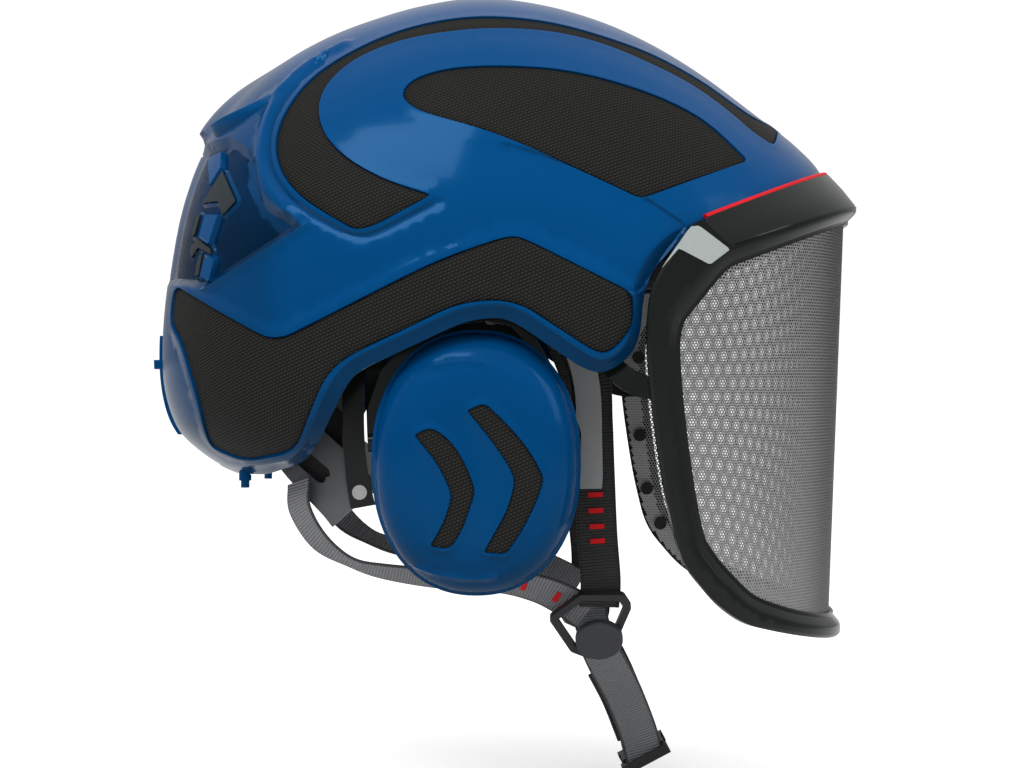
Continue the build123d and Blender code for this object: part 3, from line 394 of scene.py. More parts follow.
def skin_object(name, form, lines, spacing, keep, height, thickness, material, body,
                sides=(RIGHT, LEFT), inner=None):
    """A closed plate over the form: outer face displaced by height, inner face set back by thickness.

    With both sides, the halves are welded where they meet on the symmetry plane."""
    uv, tris = triangulate(lines, spacing, keep)
    n = len(uv)
    base, normal = form.point(uv), form.normal(uv)
    _, _, rho = form.polar(uv)
    seam = (rho > form.limit - 1e-5) & (base[:, 1] < 0.05)
    base[seam, 1] = 0
    normal[seam, 1] = 0
    normal = unit(normal)
    h = height(uv)
    back = inner(uv) if inner else h - thickness
    half = np.vstack([base + normal * h[:, None], base + normal * back[:, None]])
    slopes = displaced_normals(form, uv, height)
    slopes[seam, 1] = 0
    normals = np.vstack([unit(slopes), -normal])
    flat = np.vstack([uv, uv])
    rims = [(a, b) for a, b in boundary_edges(tris) if not (seam[a] and seam[b])]
    faces = [tuple(t) for t in tris] + [(c + n, b + n, a + n) for a, b, c in tris]
    faces += [(a, a + n, b + n, b) for a, b in rims]
    if len(sides) == 2 and seam.any():
        groups = [welded(name, half, faces, normals, flat, seam)]
    else:
        groups = []
        for tag, side in SIDES:
            if side not in sides:
                continue
            label = name if len(sides) == 1 else f"{name}_{tag}"
            turned = faces if side == RIGHT else [tuple(reversed(f)) for f in faces]
            mirror = MIRROR if side == RIGHT else 1
            groups.append((label, half * mirror, turned, normals * mirror, flat))
    objects = []
    for label, verts, polys, directions, spots in groups:
        obj = new_object(label, verts, polys, material, body, spots)
        shade(obj)
        exact_normals(obj, directions)
        objects.append(obj)
    return objects


# ---------------------------------------------------------------- shader nodes
def link(tree, source, target):
    tree.links.new(source, target)


def node(tree, kind, inputs=None, **settings):
    """Adds a shader node with its settings; each input is given a value or linked to a socket."""
    made = tree.nodes.new(kind)
    for key, value in settings.items():
        setattr(made, key, value)
    for key, value in (inputs or {}).items():
        if isinstance(value, bpy.types.NodeSocket):
            link(tree, value, made.inputs[key])
        else:
            made.inputs[key].default_value = value
    return made


def calc(tree, operation, a, b=0.0):
    """The result of a math node on two values or sockets."""
    return node(tree, "ShaderNodeMath", {0: a, 1: b}, operation=operation).outputs[0]


def map_range(tree, value, low, high, to_low=0.0, to_high=1.0, kind="LINEAR"):
    """A socket's value carried over from one range to another, and kept inside it."""
    ends = {"Value": value, "From Min": low, "From Max": high, "To Min": to_low, "To Max": to_high}
    return node(tree, "ShaderNodeMapRange", ends, interpolation_type=kind).outputs["Result"]


def between(tree, factor, a, b):
    """The colour from a to b by a factor; a and b are colours or sockets."""
    a, b = (c if isinstance(c, bpy.types.NodeSocket) else (*c, 1) for c in (a, b))
    return node(tree, "ShaderNodeMix", {"Factor": factor, "A": a, "B": b}, data_type="RGBA").outputs["Result"]


def split(tree, vector):
    """The X, Y and Z sockets of a vector."""
    return node(tree, "ShaderNodeSeparateXYZ", {"Vector": vector}).outputs


def attribute(tree, name, output):
    return node(tree, "ShaderNodeAttribute", attribute_name=name).outputs[output]


def texture(tree, kind, scale, **inputs):
    """A noise or cell texture over the object's own coordinates."""
    coords = node(tree, "ShaderNodeTexCoord")
    return node(tree, "ShaderNodeTex" + kind, {"Vector": coords.outputs["Object"], "Scale": scale, **inputs})


def emboss(tree, shader, height, strength, distance, invert=False):
    """Tilts the shading normal by a height."""
    made = node(tree, "ShaderNodeBump", {"Height": height, "Strength": strength, "Distance": distance},
                invert=invert)
    link(tree, made.outputs["Normal"], shader.inputs["Normal"])


def wave(tree, length, pitch, phase=0.0):
    """A sine of a length, both in metres, that repeats every pitch."""
    turns = calc(tree, "MULTIPLY", length, 2 * math.pi / pitch)
    return calc(tree, "SINE", calc(tree, "ADD", turns, phase))


def grain(tree, shader, scale, strength, distance):
    """A fine noise bump so that no surface is perfectly flat; returns the noise."""
    noise = texture(tree, "Noise", scale, Detail=3.0).outputs["Fac"]
    emboss(tree, shader, noise, strength, distance)
    return noise


def vary(tree, shader, noise, color, share, roughness):
    """Varies colour and roughness a little with a noise."""
    darker = [c * (1 - share) for c in color]
    lighter = [min(1, c * (1 + share)) for c in color]
    link(tree, between(tree, noise, darker, lighter), shader.inputs["Base Color"])
    uneven = map_range(tree, noise, 0.0, 1.0, roughness * 0.85, min(1.0, roughness * 1.15))
    link(tree, uneven, shader.inputs["Roughness"])


# ---------------------------------------------------------------- materials
# Painted shade: the shell blue made darker on surfaces that face down, and darker still in the hollows and
# along the turned-in brim.
UNDERSIDE_SHADE_BLUE, RECESS_SHADE_BLUE = (0.001, 0.035, 0.105), (0.002, 0.022, 0.062)
# Painted shade: the darker steel shown where the visor mesh is seen edge on.
STEEL_GREY, STEEL_EDGE_ON_SHADE = (0.36, 0.36, 0.36), (0.05, 0.05, 0.052)
INLAY_DARK, INLAY_LIGHT = (0.009, 0.009, 0.008), (0.034, 0.033, 0.031)
INLAY_PITCH, INLAY_TURN = 1.65 * MM, math.radians(-22)
RIB_PITCH, WARP_PITCH = 1.25 * MM, 0.8 * MM


def principled(name, color, roughness, metallic=0.0, **inputs):
    """A material with one principled shader; returns it with its node tree and shader."""
    mat = bpy.data.materials.new(name)
    mat.use_nodes = True
    shader = mat.node_tree.nodes["Principled BSDF"]
    shader.inputs["Base Color"].default_value = (*color, 1)
    shader.inputs["Roughness"].default_value = roughness
    shader.inputs["Metallic"].default_value = metallic
    for key, value in inputs.items():
        shader.inputs[key.replace("_", " ")].default_value = value
    return mat, mat.node_tree, shader


def gloss_blue(name, color):
    """Moulded gloss plastic with a faint orange peel, with painted shade where it turns down and in the
    shaded hollows.
    """
    mat, tree, shader = principled(name, color, 0.16, IOR=1.25, Specular_IOR_Level=0.6, Coat_Weight=0.04,
                                   Coat_Roughness=0.05, Specular_Tint=(0.12, 0.5, 1.0, 1))
    normal = node(tree, "ShaderNodeNewGeometry").outputs["Normal"]
    # Painted shade: the colour darkens as the surface turns to face down.
    turned_up = map_range(tree, split(tree, normal)["Z"], -0.55, 0.25)
    tone = between(tree, turned_up, UNDERSIDE_SHADE_BLUE, color)
    # Painted shade in the hollows, by the share that the shell stores at each point.
    tone = between(tree, attribute(tree, "painted_recess_shade", "Fac"), tone, RECESS_SHADE_BLUE)
    link(tree, tone, shader.inputs["Base Color"])
    grain(tree, shader, 300.0, 0.02, 0.00002)
    return mat


def moulded(name, color, roughness, bump=0.15, scale=1500.0, specular=0.4, ior=1.45):
    """Moulded plastic: fine spark texture, slightly uneven gloss and tone."""
    mat, tree, shader = principled(name, color, roughness, Specular_IOR_Level=specular, IOR=ior)
    vary(tree, shader, grain(tree, shader, scale, bump, 0.00006), color, 0.12, roughness)
    return mat


def metal(name, color, roughness):
    """Turned steel with fine scratches."""
    mat, tree, shader = principled(name, color, roughness, metallic=1.0)
    vary(tree, shader, grain(tree, shader, 2200.0, 0.12, 0.00002), color, 0.15, roughness)
    return mat


def mesh_metal(name):
    """Etched steel with painted shade: darker where the curved mesh is seen edge on."""
    mat, tree, shader = principled(name, STEEL_GREY, 0.42, metallic=1.0)
    facing = node(tree, "ShaderNodeLayerWeight").outputs["Facing"]
    # Painted shade, growing as the mesh turns edge on to the view.
    turned = map_range(tree, facing, 0.45, 0.9, kind="SMOOTHSTEP")
    link(tree, between(tree, turned, STEEL_GREY, STEEL_EDGE_ON_SHADE), shader.inputs["Base Color"])
    grain(tree, shader, 900.0, 0.05, 0.00003)
    return mat


def ribbed_webbing(name, dark, light, width=16.5):
    """Woven strap: ribs across it, broken up by the warp threads, with dark cords at both edges."""
    mat, tree, shader = principled(name, light, 0.8, Sheen_Weight=0.15)
    parts = split(tree, attribute(tree, "flat", "Vector"))
    across, along = parts["X"], parts["Y"]
    rib, thread = wave(tree, along, RIB_PITCH), wave(tree, across, WARP_PITCH)
    crossing = calc(tree, "MULTIPLY", thread, rib)
    height = calc(tree, "ADD", rib, calc(tree, "MULTIPLY", crossing, 0.45))
    weave = between(tree, map_range(tree, height, -1.3, 1.0), dark, light)
    from_middle = calc(tree, "ABSOLUTE", across)
    at_edge = map_range(tree, from_middle, width * MM * 0.42, width * MM * 0.46)
    cord = between(tree, at_edge, weave, [c * 0.35 for c in dark])
    link(tree, cord, shader.inputs["Base Color"])
    emboss(tree, shader, height, 0.8, 0.00025)
    return mat


def padded(name, color, dot=3.0, roughness=0.85):
    """Soft fabric with rows of small perforations over a fine knit."""
    mat, tree, shader = principled(name, color, roughness, Sheen_Weight=0.3)
    cells = texture(tree, "Voronoi", 1 / (dot * MM), Randomness=0.15).outputs["Distance"]
    knit = texture(tree, "Noise", 1800.0).outputs["Fac"]
    solid = map_range(tree, cells, 0.12, 0.3, kind="SMOOTHSTEP")
    link(tree, between(tree, solid, [c * 0.3 for c in color], color), shader.inputs["Base Color"])
    height = calc(tree, "ADD", solid, calc(tree, "MULTIPLY", knit, 0.3))
    emboss(tree, shader, height, 0.6, 0.0003)
    return mat


def cellular(name, color, roughness, cell_scale, strength, distance, tone_scale, raised=False):
    """A surface of small cells: creased film with sunken cells, or expanded foam with raised beads."""
    mat, tree, shader = principled(name, color, roughness)
    cells = texture(tree, "Voronoi", cell_scale).outputs["Distance"]
    emboss(tree, shader, cells, strength, distance, invert=raised)
    vary(tree, shader, texture(tree, "Noise", tone_scale).outputs["Fac"], color, 0.2, roughness)
    return mat


def woven_black(name):
    """Matte black with the small raised squares of a coarse weave, every second row shifted."""
    mat, tree, shader = principled(name, (0.018, 0.018, 0.017), 0.62, Specular_IOR_Level=0.12)
    flat = attribute(tree, "flat", "Vector")
    turned = node(tree, "ShaderNodeVectorRotate", {"Vector": flat, "Angle": INLAY_TURN},
                  rotation_type="Z_AXIS")
    parts = split(tree, turned.outputs["Vector"])
    u = calc(tree, "MULTIPLY", parts["X"], 2 * math.pi / INLAY_PITCH)
    v = calc(tree, "MULTIPLY", parts["Y"], 2 * math.pi / (INLAY_PITCH * 0.8))
    row = calc(tree, "FLOOR", calc(tree, "DIVIDE", v, 2 * math.pi))
    shift = calc(tree, "MULTIPLY", calc(tree, "MODULO", row, 2.0), math.pi)
    wave_u = calc(tree, "SINE", calc(tree, "ADD", u, shift))
    wave_v = calc(tree, "SINE", calc(tree, "ADD", v, -math.pi / 2))
    height = calc(tree, "ADD", calc(tree, "MULTIPLY", wave_u, 0.6), wave_v)
    knob = map_range(tree, height, -0.2, 1.3, kind="SMOOTHSTEP")
    emboss(tree, shader, knob, 0.9, 0.0003)
    link(tree, between(tree, knob, INLAY_DARK, INLAY_LIGHT), shader.inputs["Base Color"])
    return mat


BLUE = gloss_blue("shell_blue", (0.0, 0.066, 0.222))
BLUE_CAP = gloss_blue("cap_blue", (0.0, 0.063, 0.212))
WEAVE = woven_black("inlay_black")
GLOSS_BLACK = moulded("gloss_black", (0.007, 0.010, 0.009), 0.16, 0.03, 700.0, specular=0.6, ior=1.28)
# Painted highlight: a pale grey that stands in for the softbox's reflection on the visor frame's upper
# corners.
FACET_HIGHLIGHT_GREY = moulded("painted_facet_highlight", (0.42, 0.46, 0.45), 0.25, bump=0.03)
VENT_GREY = moulded("vent_grey", (0.018, 0.026, 0.032), 0.5)
SATIN_BLACK = moulded("satin_black", (0.016, 0.016, 0.017), 0.5)
BLADE_GREY = moulded("mid_grey", (0.27, 0.28, 0.29), 0.3, bump=0.05)
CRADLE_GREY = moulded("satin_grey", (0.15, 0.16, 0.17), 0.42)
DIVIDER_GREY = moulded("dark_grey", (0.022, 0.023, 0.025), 0.4)
CAP_GREY = moulded("cap_grey", (0.042, 0.044, 0.047), 0.45)
MESH_STEEL = mesh_metal("mesh_steel")
HEM_STEEL = moulded("mesh_hem", (0.55, 0.55, 0.55), 0.5)
PIN_STEEL = metal("pin_steel", (0.50, 0.50, 0.50), 0.3)
RED = moulded("seal_red", (0.80, 0.004, 0.015), 0.45, specular=0.2)
STITCH_RED = moulded("stitch_red", (0.62, 0.012, 0.016), 0.8, bump=0.4, scale=900.0, specular=0.15)
WEB_BLACK = ribbed_webbing("webbing_black", (0.006, 0.006, 0.006), (0.022, 0.022, 0.022))
WEB_DARK = ribbed_webbing("webbing_dark", (0.11, 0.113, 0.12), (0.26, 0.265, 0.28), 15.5)
WEB_GREY = ribbed_webbing("webbing_grey", (0.10, 0.105, 0.112), (0.25, 0.26, 0.275))
CUSHION = cellular("cushion_black", (0.02, 0.02, 0.02), 0.45, 900.0, 0.35, 0.00015, 120.0)
PAD = padded("pad_black", (0.02, 0.02, 0.02))
FOAM = padded("foam_grey", (0.08, 0.08, 0.08), 2.0)
LINER = cellular("liner_grey", (0.06, 0.06, 0.065), 0.8, 350.0, 0.7, 0.0004, 300.0, raised=True)


# ---------------------------------------------------------------- shell
SHELL_HALF_WIDTH, SHELL_ROUNDNESS, SHELL_WALL = 115.0, 2.4, 3.0
SHELL_CENTRE = (5.0, 48.0)
SHELL_PROFILE = [
    (152, 108), (147.5, 122), (136.5, 134), (119, 147.5), (97, 164), (75, 177.5), (53, 187.5),
    (26.5, 195), (0, 197.8), (-22, 195), (-44, 189), (-66, 180.5), (-86, 169), (-104, 154),
    (-118, 135), (-128, 110), (-134, 80), (-137, 50), (-136, 28), (-130, 11), (-121, 2),
    (-108, -6), (-80, -14), (0, -22), (90, 0), (138, 50), (150, 85),
]
SHELL_EDGE = [
    (-190, -9, 0), (-84, -6, 6), (-71, -3, 10), (-63, 6, 8), (-51, 30, 8), (-46, 36, 8), (-24, 46, 20),
    (-4, 55.5, 10), (9, 57, 9), (16, 54.5, 6), (42, 36.5, 6), (50, 34.5, 6), (59, 39.5, 8), (64.5, 48, 8),
    (65.6, 66, 8), (70, 76.5, 5), (79, 86, 8), (90, 90, 10), (150, 113, 5), (190, 122, 0), (190, 240, 0),
    (-190, 240, 0),
]
SIDE_BAND = [
    (-124, 71.5, 3), (-97, 57, 6), (-79, 47.5, 8), (-53, 60, 20), (-14, 79.5, 15), (14, 89, 8), (21, 86.5, 7),
    (61, 66.5, 4), (61.5, 54, 5), (56, 46, 6), (49, 41.5, 7), (31, 53, 10), (15, 63.5, 10), (-6, 62.5, 10),
    (-24, 53.5, 20), (-51, 41, 10), (-59, 33, 8), (-72, 4, 7), (-92, 0, 4), (-98, 0.5, 4), (-110, 5, 4),
    (-113, 24, 8), (-121, 48, 8), (-127.5, 56, 4), (-126.5, 68, 4),
]
CROWN_BAND = [
    (128, 140, 2), (116, 142, 5), (105, 149), (94, 157), (72.5, 168), (51, 174.5), (30, 180),
    (5, 182), (-17, 180), (-38, 174), (-59, 162.5), (-71, 152), (-79, 138), (-81, 126),
    (-78, 115), (-70, 105), (-58, 97), (-46.5, 90.5, 4), (-38, 93, 3), (-17, 104.5, 1.5), (-35, 110.5),
    (-50, 119), (-59, 128), (-63, 137), (-63, 146.5), (-58, 155.5), (-48, 164), (-32, 170.5),
    (-16, 173.5), (5, 175.5), (30, 175), (51, 170.5), (72, 162), (89, 154), (104, 143),
    (114, 133.5), (122, 129, 2),
]
TEMPLE_INLAY = [
    (-30, 146), (-27, 151), (-20.5, 154.5), (-10, 157), (5, 158), (30, 157.5), (50, 154),
    (71, 148), (87, 141), (97, 134), (109.5, 121, 2), (65, 103.5, 4), (49, 111), (29, 120), (5.5, 130),
    (-20, 137.5), (-27, 141.5),
]
FLOOR, WALL = -1.5, 0.35


def superellipse_section(half_width, roundness, count=240):
    t = np.linspace(0, math.pi / 2, count)
    g = np.sin(t) ** (2 / roundness)
    y = half_width * np.cos(t) ** (2 / roundness)
    g[0], y[-1] = 0, 0
    return np.column_stack([g, y])


SHELL_SECTION = superellipse_section(SHELL_HALF_WIDTH, SHELL_ROUNDNESS)
SHELL_MEAN_RADIUS = 140.0
dome = Form(smooth_loop(SHELL_PROFILE), SHELL_CENTRE, SHELL_SECTION, SHELL_MEAN_RADIUS)


def map_loop(points, radius=4.0, step=2.0):
    """The closed loop on the dome's map of an outline given in side view."""
    return dome.to_map(resample(rounded(points, radius), step))


MAPS = {
    "side_bands": map_loop(SIDE_BAND),
    "crown_bands": map_loop(CROWN_BAND, 12.0),
    "temple_inlays": map_loop(TEMPLE_INLAY, 12.0),
}
EDGE_MAP = map_loop(SHELL_EDGE)
RIMS = {  # height and width of the raised rim round each inlay
    "side_bands": (0.7, 2.4), "crown_bands": (0.35, 1.4), "temple_inlays": (0.25, 1.2),
}


def side_line(points):
    """A smooth open line on the dome's map from side-view points."""
    return dome.to_map(resample(rounded(points, 12.0, closed=False), 2.0, closed=False))


REAR_RIB = side_line([(-55, 171), (-73.5, 161), (-84.5, 144), (-87.5, 124), (-84.5, 112), (-76, 100.5)])
HOOK_GROOVE = side_line([(-62, 166), (-74.5, 154), (-82.6, 139), (-84.6, 126), (-81.4, 113.5), (-72.5, 102.3),
                         (-59.5, 94), (-46, 87.3), (-37.5, 89.6), (-15, 101.5)])
REAR_SCOOP = map_loop([
    (-101.6, 132.6, 2), (-87.5, 122.9, 6), (-87, 113, 6), (-83.5, 103.5, 5), (-74.2, 98.9, 3),
    (-67.5, 93, 1.5),
    (-88.5, 80.9, 4), (-110.8, 69.1, 2), (-150, 76, 2), (-150, 131, 2)])
CREASE = side_line([(-67.5, 93), (-88.5, 80.9), (-110.8, 69.1)])
SIDE_FIN = side_line([(-72, 157), (-84, 149), (-95, 142), (-108, 136.5)])
REAR_VENTS = [
    [(-105.1, 119, 0.5), (-97.6, 104.9, 1), (-104.2, 99, 1), (-106.5, 105.3, 0.6), (-114.9, 105.5, 1)],
    [(-120.3, 86.7, 0.6), (-116.2, 91.2, 1), (-108.9, 86.4, 0.8), (-108.6, 83, 0.8), (-115.7, 86.8, 1),
     (-118.9, 82.3, 0.6)],
    [(-117.2, 101.4, 0.5), (-114.9, 101, 0.5), (-117.4, 92.6, 0.5), (-119.8, 91.6, 0.5)],
    [(-115.1, 84, 0.5), (-112.7, 85, 0.5), (-114.4, 75.2, 0.5), (-117, 75, 0.5)],
]
VENTS = [map_loop(line, step=1.0) for line in REAR_VENTS]
REAR_STRIPS = [map_loop(line, 0.8, 1.0) for line in (
    [(-112.4, 100.9), (-105.2, 100.2), (-109.7, 87.3), (-115.1, 91.1)],
    [(-111.5, 84.2), (-106.4, 81.8), (-109, 71.8), (-113.9, 74.5)],
    [(-113.5, 126), (-106, 127.5), (-105.5, 120), (-111, 112)],
)]
SPINE_RISE, FIN_RISE, RIB_RISE, CREASE_RISE, STRIP_RISE = 6.0, 4.5, 1.8, 0.7, 2.2
FLANK_DEPTH, GROOVE_DEPTH, SCOOP_DEPTH = 0.9, 0.9, 3.0
VENT_LIP, VENT_DEPTH = 0.8, 1.6
BRIM_RISE, BRIM_TURN, BRIM_WIDTH = 0.4, 2.0, 5.4
FLANK = map_loop([
    (-10, 128), (17, 123.5), (49, 112.5), (68.5, 102.5), (82.5, 93, 2), (74, 82), (64, 66), (40, 70),
    (-10, 84)])


def shell_height(uv):
    """Height of the shell's surface above the plain dome, at map points."""
    x, y, z = dome.point(uv).T
    h = -FLANK_DEPTH * within(uv, FLANK, -0.3, 0.8) * ramp(x, -10, 30)
    h += ridge(uv, REAR_RIB, RIB_RISE, 2.6) + ridge(uv, HOOK_GROOVE, -GROOVE_DEPTH, 1.2)
    h += ridge(uv, CREASE, CREASE_RISE, 0.9) - SCOOP_DEPTH * scoop_share(uv)
    gap, along = line_distance(uv, SIDE_FIN)
    h += FIN_RISE * ramp(along, 0, 0.9) * (1 - ramp(gap, 0.8, 4.2))
    h += SPINE_RISE * ramp(-x, 80, 119) * ramp(z, 134, 137) * (1 - ramp(y, 10, 40)) * (x < 0)
    for loop in REAR_STRIPS:
        h += STRIP_RISE * within(uv, loop, -0.6, 0.3)
    for loop in VENTS:
        d = signed_distance(uv, loop)
        h += VENT_LIP * ramp(d, -0.4, 0) * (1 - ramp(d, 0.6, 1.6)) - VENT_DEPTH * (1 - ramp(d, -0.4, 0))
    edge = signed_distance(uv, EDGE_MAP)
    over_pegs = ramp(-x, 76, 90) * ramp(-z, 2, 5)
    turned_in = np.clip(edge / BRIM_WIDTH + 1, 0, 1)
    h += BRIM_RISE * ramp(edge, -8, -6) - BRIM_TURN * turned_in * (1 - over_pegs)
    for name, (height, width) in RIMS.items():
        d = signed_distance(uv, MAPS[name])
        h += height * (ramp(d, -WALL, 0)) * (1 - ramp(d, width, width + 1.4))
        h = np.where(d < 0, h + (FLOOR - h) * (1 - ramp(d, -WALL, 0)), h)
    return h


def scoop_share(uv, fade=4.0):
    """1 in the hollow behind the hook band, 0 outside it and on the spine along the middle."""
    off_spine = ramp(dome.point(uv)[:, 1], 14, 34)
    return within(uv, REAR_SCOOP, -fade, 0.2) * off_spine


def paint_recess_shade(shell):
    """Stores painted shade for the hollows that the softbox never reaches, as a share at each point that
    darkens the paint.
    """
    mesh = shell.data
    uv = stored_map(mesh)
    x, _, z = dome.point(uv).T
    # Painted shade: strongest low in the hollow behind the hook band, lighter over the rest of the rear and
    # along the turned-in brim, and none on the side fin, rear rib and raised strips.
    share = scoop_share(uv, 1.0) * (0.45 + 0.4 * ramp(-z, -112, -88))
    behind_hook = 1 - ramp(x, -90, -72)
    brim = ramp(signed_distance(uv, EDGE_MAP), -5.8, -5.0)
    share = np.maximum(share, np.maximum(0.35 * behind_hook, 0.55 * brim))
    for line, start, end in ((SIDE_FIN, 2.5, 5.0), (REAR_RIB, 2.0, 4.0)):
        gap, _ = line_distance(uv, line)
        share *= ramp(gap, start, end)
    for loop in REAR_STRIPS:
        share *= 1 - within(uv, loop, 0.0, 0.6)
    layer = mesh.attributes.new("painted_recess_shade", "FLOAT", "POINT")
    layer.data.foreach_set("value", share)


def panel_lines(form, loop, offsets):
    """Constraint lines along a map loop at each offset, with the rim crossings they make."""
    lines, crossings = [], []
    for offset in offsets:
        for line, closed in clip_loop(form, offset_loop(loop, offset)):
            lines.append((line, closed))
            if not closed:
                crossings += [line[0], line[-1]]
    return lines, crossings


def level(height):
    """A height function that is the same everywhere."""
    return lambda uv: np.full(len(uv), height)


def on_shell(points):
    return dome.holds(points) & (signed_distance(points, EDGE_MAP) < 0)


def build_shell():
    lines, crossings = [], []
    plan = [(EDGE_MAP, (0, -2.7, -5.2, -5.6, -8)), (REAR_SCOOP, (-4.0, 0.2)), (FLANK, (-0.3, 0.8))]
    plan += [(loop, (-0.4, 0, 0.6, 1.6)) for loop in VENTS]
    plan += [(loop, (-0.6, 0.3)) for loop in REAR_STRIPS]
    for name, (_, width) in RIMS.items():
        plan.append((MAPS[name], (-WALL, 0, width, width + 1.4)))
    for loop, offsets in plan:
        made, cross = panel_lines(dome, loop, offsets)
        lines += made
        crossings += cross
    for path, shifts in ((HOOK_GROOVE, (-1.2, 0, 1.2)), (REAR_RIB, (-3, -1, 1, 3)),
                         (SIDE_FIN, (-4.2, -2, 0, 2, 4.2)), (CREASE, (-0.9, 0, 0.9))):
        tangent = unit(np.gradient(path, axis=0))
        across = np.column_stack([tangent[:, 1], -tangent[:, 0]])
        lines += [(path + across * shift, False) for shift in shifts]
    lines.append((rim_loop(dome, crossings), True))
    shell = skin_object("shell_skin", dome, lines, 4.0, on_shell, shell_height, SHELL_WALL, BLUE, "helmet",
                        inner=level(-SHELL_WALL))[0]
    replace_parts(shell, "outer_shell")
    paint_recess_shade(shell)
    for k, loop in enumerate(VENTS):
        def inside(points, loop=loop):
            return signed_distance(points, loop) < -0.42

        lines, _ = panel_lines(dome, loop, (-0.45,))
        plates = skin_object(f"rear_vent_{k + 1}", dome, lines, 1.5, inside, level(-1.2), 0.6, VENT_GREY,
                             "helmet")
        for plate in plates:
            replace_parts(plate, "vent_grilles")


def build_inlays():
    """The textured panels that lie in the shell's recesses."""
    for name, loop in MAPS.items():
        lines, crossings = panel_lines(dome, loop, (-0.45, -1.0))
        if crossings:
            lines.append((rim_loop(dome, crossings), True))

        def keep(points, loop=loop):
            return dome.holds(points) & (signed_distance(points, loop) < -0.42)

        def height(uv, loop=loop):
            return -0.5 + 0.3 * ramp(signed_distance(uv, loop), -0.45, -1.0)

        for panel in skin_object(name + "_skin", dome, lines, 4.0, keep, height, 0.9, WEAVE, "helmet"):
            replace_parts(panel, name)


# ---------------------------------------------------------------- swept bands and tubes
def tube(name, sections, material, body, flat=None, angle=40.0):
    """A closed surface through cross-sections, an array of stations by points by xyz, in millimetres."""
    sections = np.asarray(sections, float)
    stations, count, _ = sections.shape
    verts = sections.reshape(-1, 3)
    faces = []
    for i in range(stations - 1):
        a, b = i * count, (i + 1) * count
        for k in range(count):
            m = (k + 1) % count
            faces.append((a + k, a + m, b + m, b + k))
    faces.append(tuple(reversed(range(count))))
    faces.append(tuple(range((stations - 1) * count, stations * count)))
    obj = new_object(name, verts, faces, material, body, flat)
    outwards(obj)
    shade(obj, angle)
    return obj


def outwards(obj):
    """Turns all faces of a closed mesh outwards."""
    mesh = bmesh.new()
    mesh.from_mesh(obj.data)
    bmesh.ops.recalc_face_normals(mesh, faces=mesh.faces)
    mesh.to_mesh(obj.data)
    mesh.free()


def on_side(points, side):
    """Points given for the left, moved to one side of the symmetry plane."""
    return [(x, side * y, z) for x, y, z in points]


def spline(points, step):
    """A smooth open curve through points of any dimension, evenly sampled."""
    p = np.array(points, float)
    ends = np.vstack([2 * p[0] - p[1], p, 2 * p[-1] - p[-2]])
    out = []
    for a, b, c, d in zip(ends[:-3], ends[1:-2], ends[2:-1], ends[3:]):
        for t in np.linspace(0, 1, 12, endpoint=False):
            out.append(0.5 * (2 * b + (c - a) * t + (2 * a - 5 * b + 4 * c - d) * t * t
                              + (3 * b - a - 3 * c + d) * t ** 3))
    out.append(p[-1])
    return resample(np.array(out), step, closed=False)


def path_frames(points, widths, step):
    """Points along a band with its unit width direction and its unit normal at each of them."""
    both = spline(np.hstack([np.array(points, float), np.array(widths, float)]), step)
    place, across = both[:, :3], both[:, 3:]
    tangent = unit(np.gradient(place, axis=0))
    across = unit(across - tangent * np.sum(across * tangent, axis=1)[:, None])
    return place, across, np.cross(tangent, across)


STRAP_THICKNESS, STRAP_STEP = 1.3, 1.5


def webbing(name, points, widths, width, material, body):
    """A woven strap: nearly flat faces with a fuller cord along each edge."""
    place, across, normal = path_frames(points, widths, STRAP_STEP)
    share = np.array([-1, -0.97, -0.88, -0.8, -0.6, -0.3, 0, 0.3, 0.6, 0.8, 0.88, 0.97, 1])
    rise = np.array([0, 0.75, 1.0, 0.72, 0.8, 0.86, 0.88, 0.86, 0.8, 0.72, 1.0, 0.75, 0])
    loop = np.concatenate([share, share[-2:0:-1]]) * width / 2
    lift = np.concatenate([rise, -rise[-2:0:-1]]) * STRAP_THICKNESS / 2
    sections = place[:, None] + across[:, None] * loop[None, :, None] + normal[:, None] * lift[None, :, None]
    along = np.arange(len(place)) * STRAP_STEP
    flat = np.stack(np.broadcast_arrays(loop[None], along[:, None]), axis=2).reshape(-1, 2)
    return tube(name, sections, material, body, flat, angle=50)


# ---------------------------------------------------------------- visor
VISOR_HALF_WIDTH, VISOR_REAR_X, VISOR_FRONT_X = 112.0, 66.0, 162.5
VISOR_ROUNDNESS, VISOR_LEAN, VISOR_TOP_Z, VISOR_WALL = 2.3, 7.0 / 182.0, 105.0, 4.5
VISOR_OUTER = [
    (176, 112, 0), (99.3, 84.5, 2), (87.6, 95.5, 1.5), (83, 91.8, 2), (71.4, 75, 5), (67.6, 67, 6),
    (65.8, 49, 12), (68.7, 18, 12), (73.5, -12.5, 12), (79, -34, 4), (83, -42, 5), (96, -56.5, 6),
    (106.5, -63.5, 5), (121, -67.5, 6), (142, -73, 12), (180, -81.5, 0),
]
VISOR_OPENING = [
    (176, 104.5, 0), (99.5, 76.5, 4), (81, 55, 4), (79.6, 46.5, 6), (80.8, 28, 10), (83.2, 7.5, 10),
    (86.7, -15, 10), (90, -29.5, 4), (97, -39, 5), (110.5, -52.5, 6), (129, -59.5, 8), (180, -72.5, 0),
]
# Side-view outline of the painted highlight on each upper corner of the visor frame.
CORNER_HIGHLIGHT = [(81.8, 91.9), (86.6, 92.4), (98.9, 83.4), (90.9, 77.3), (78.7, 83.6), (71, 74.5)]
LIP, BEVEL, LIP_DEPTH, EDGE_ROUNDING = 1.7, 3.2, 3.0, 1.2


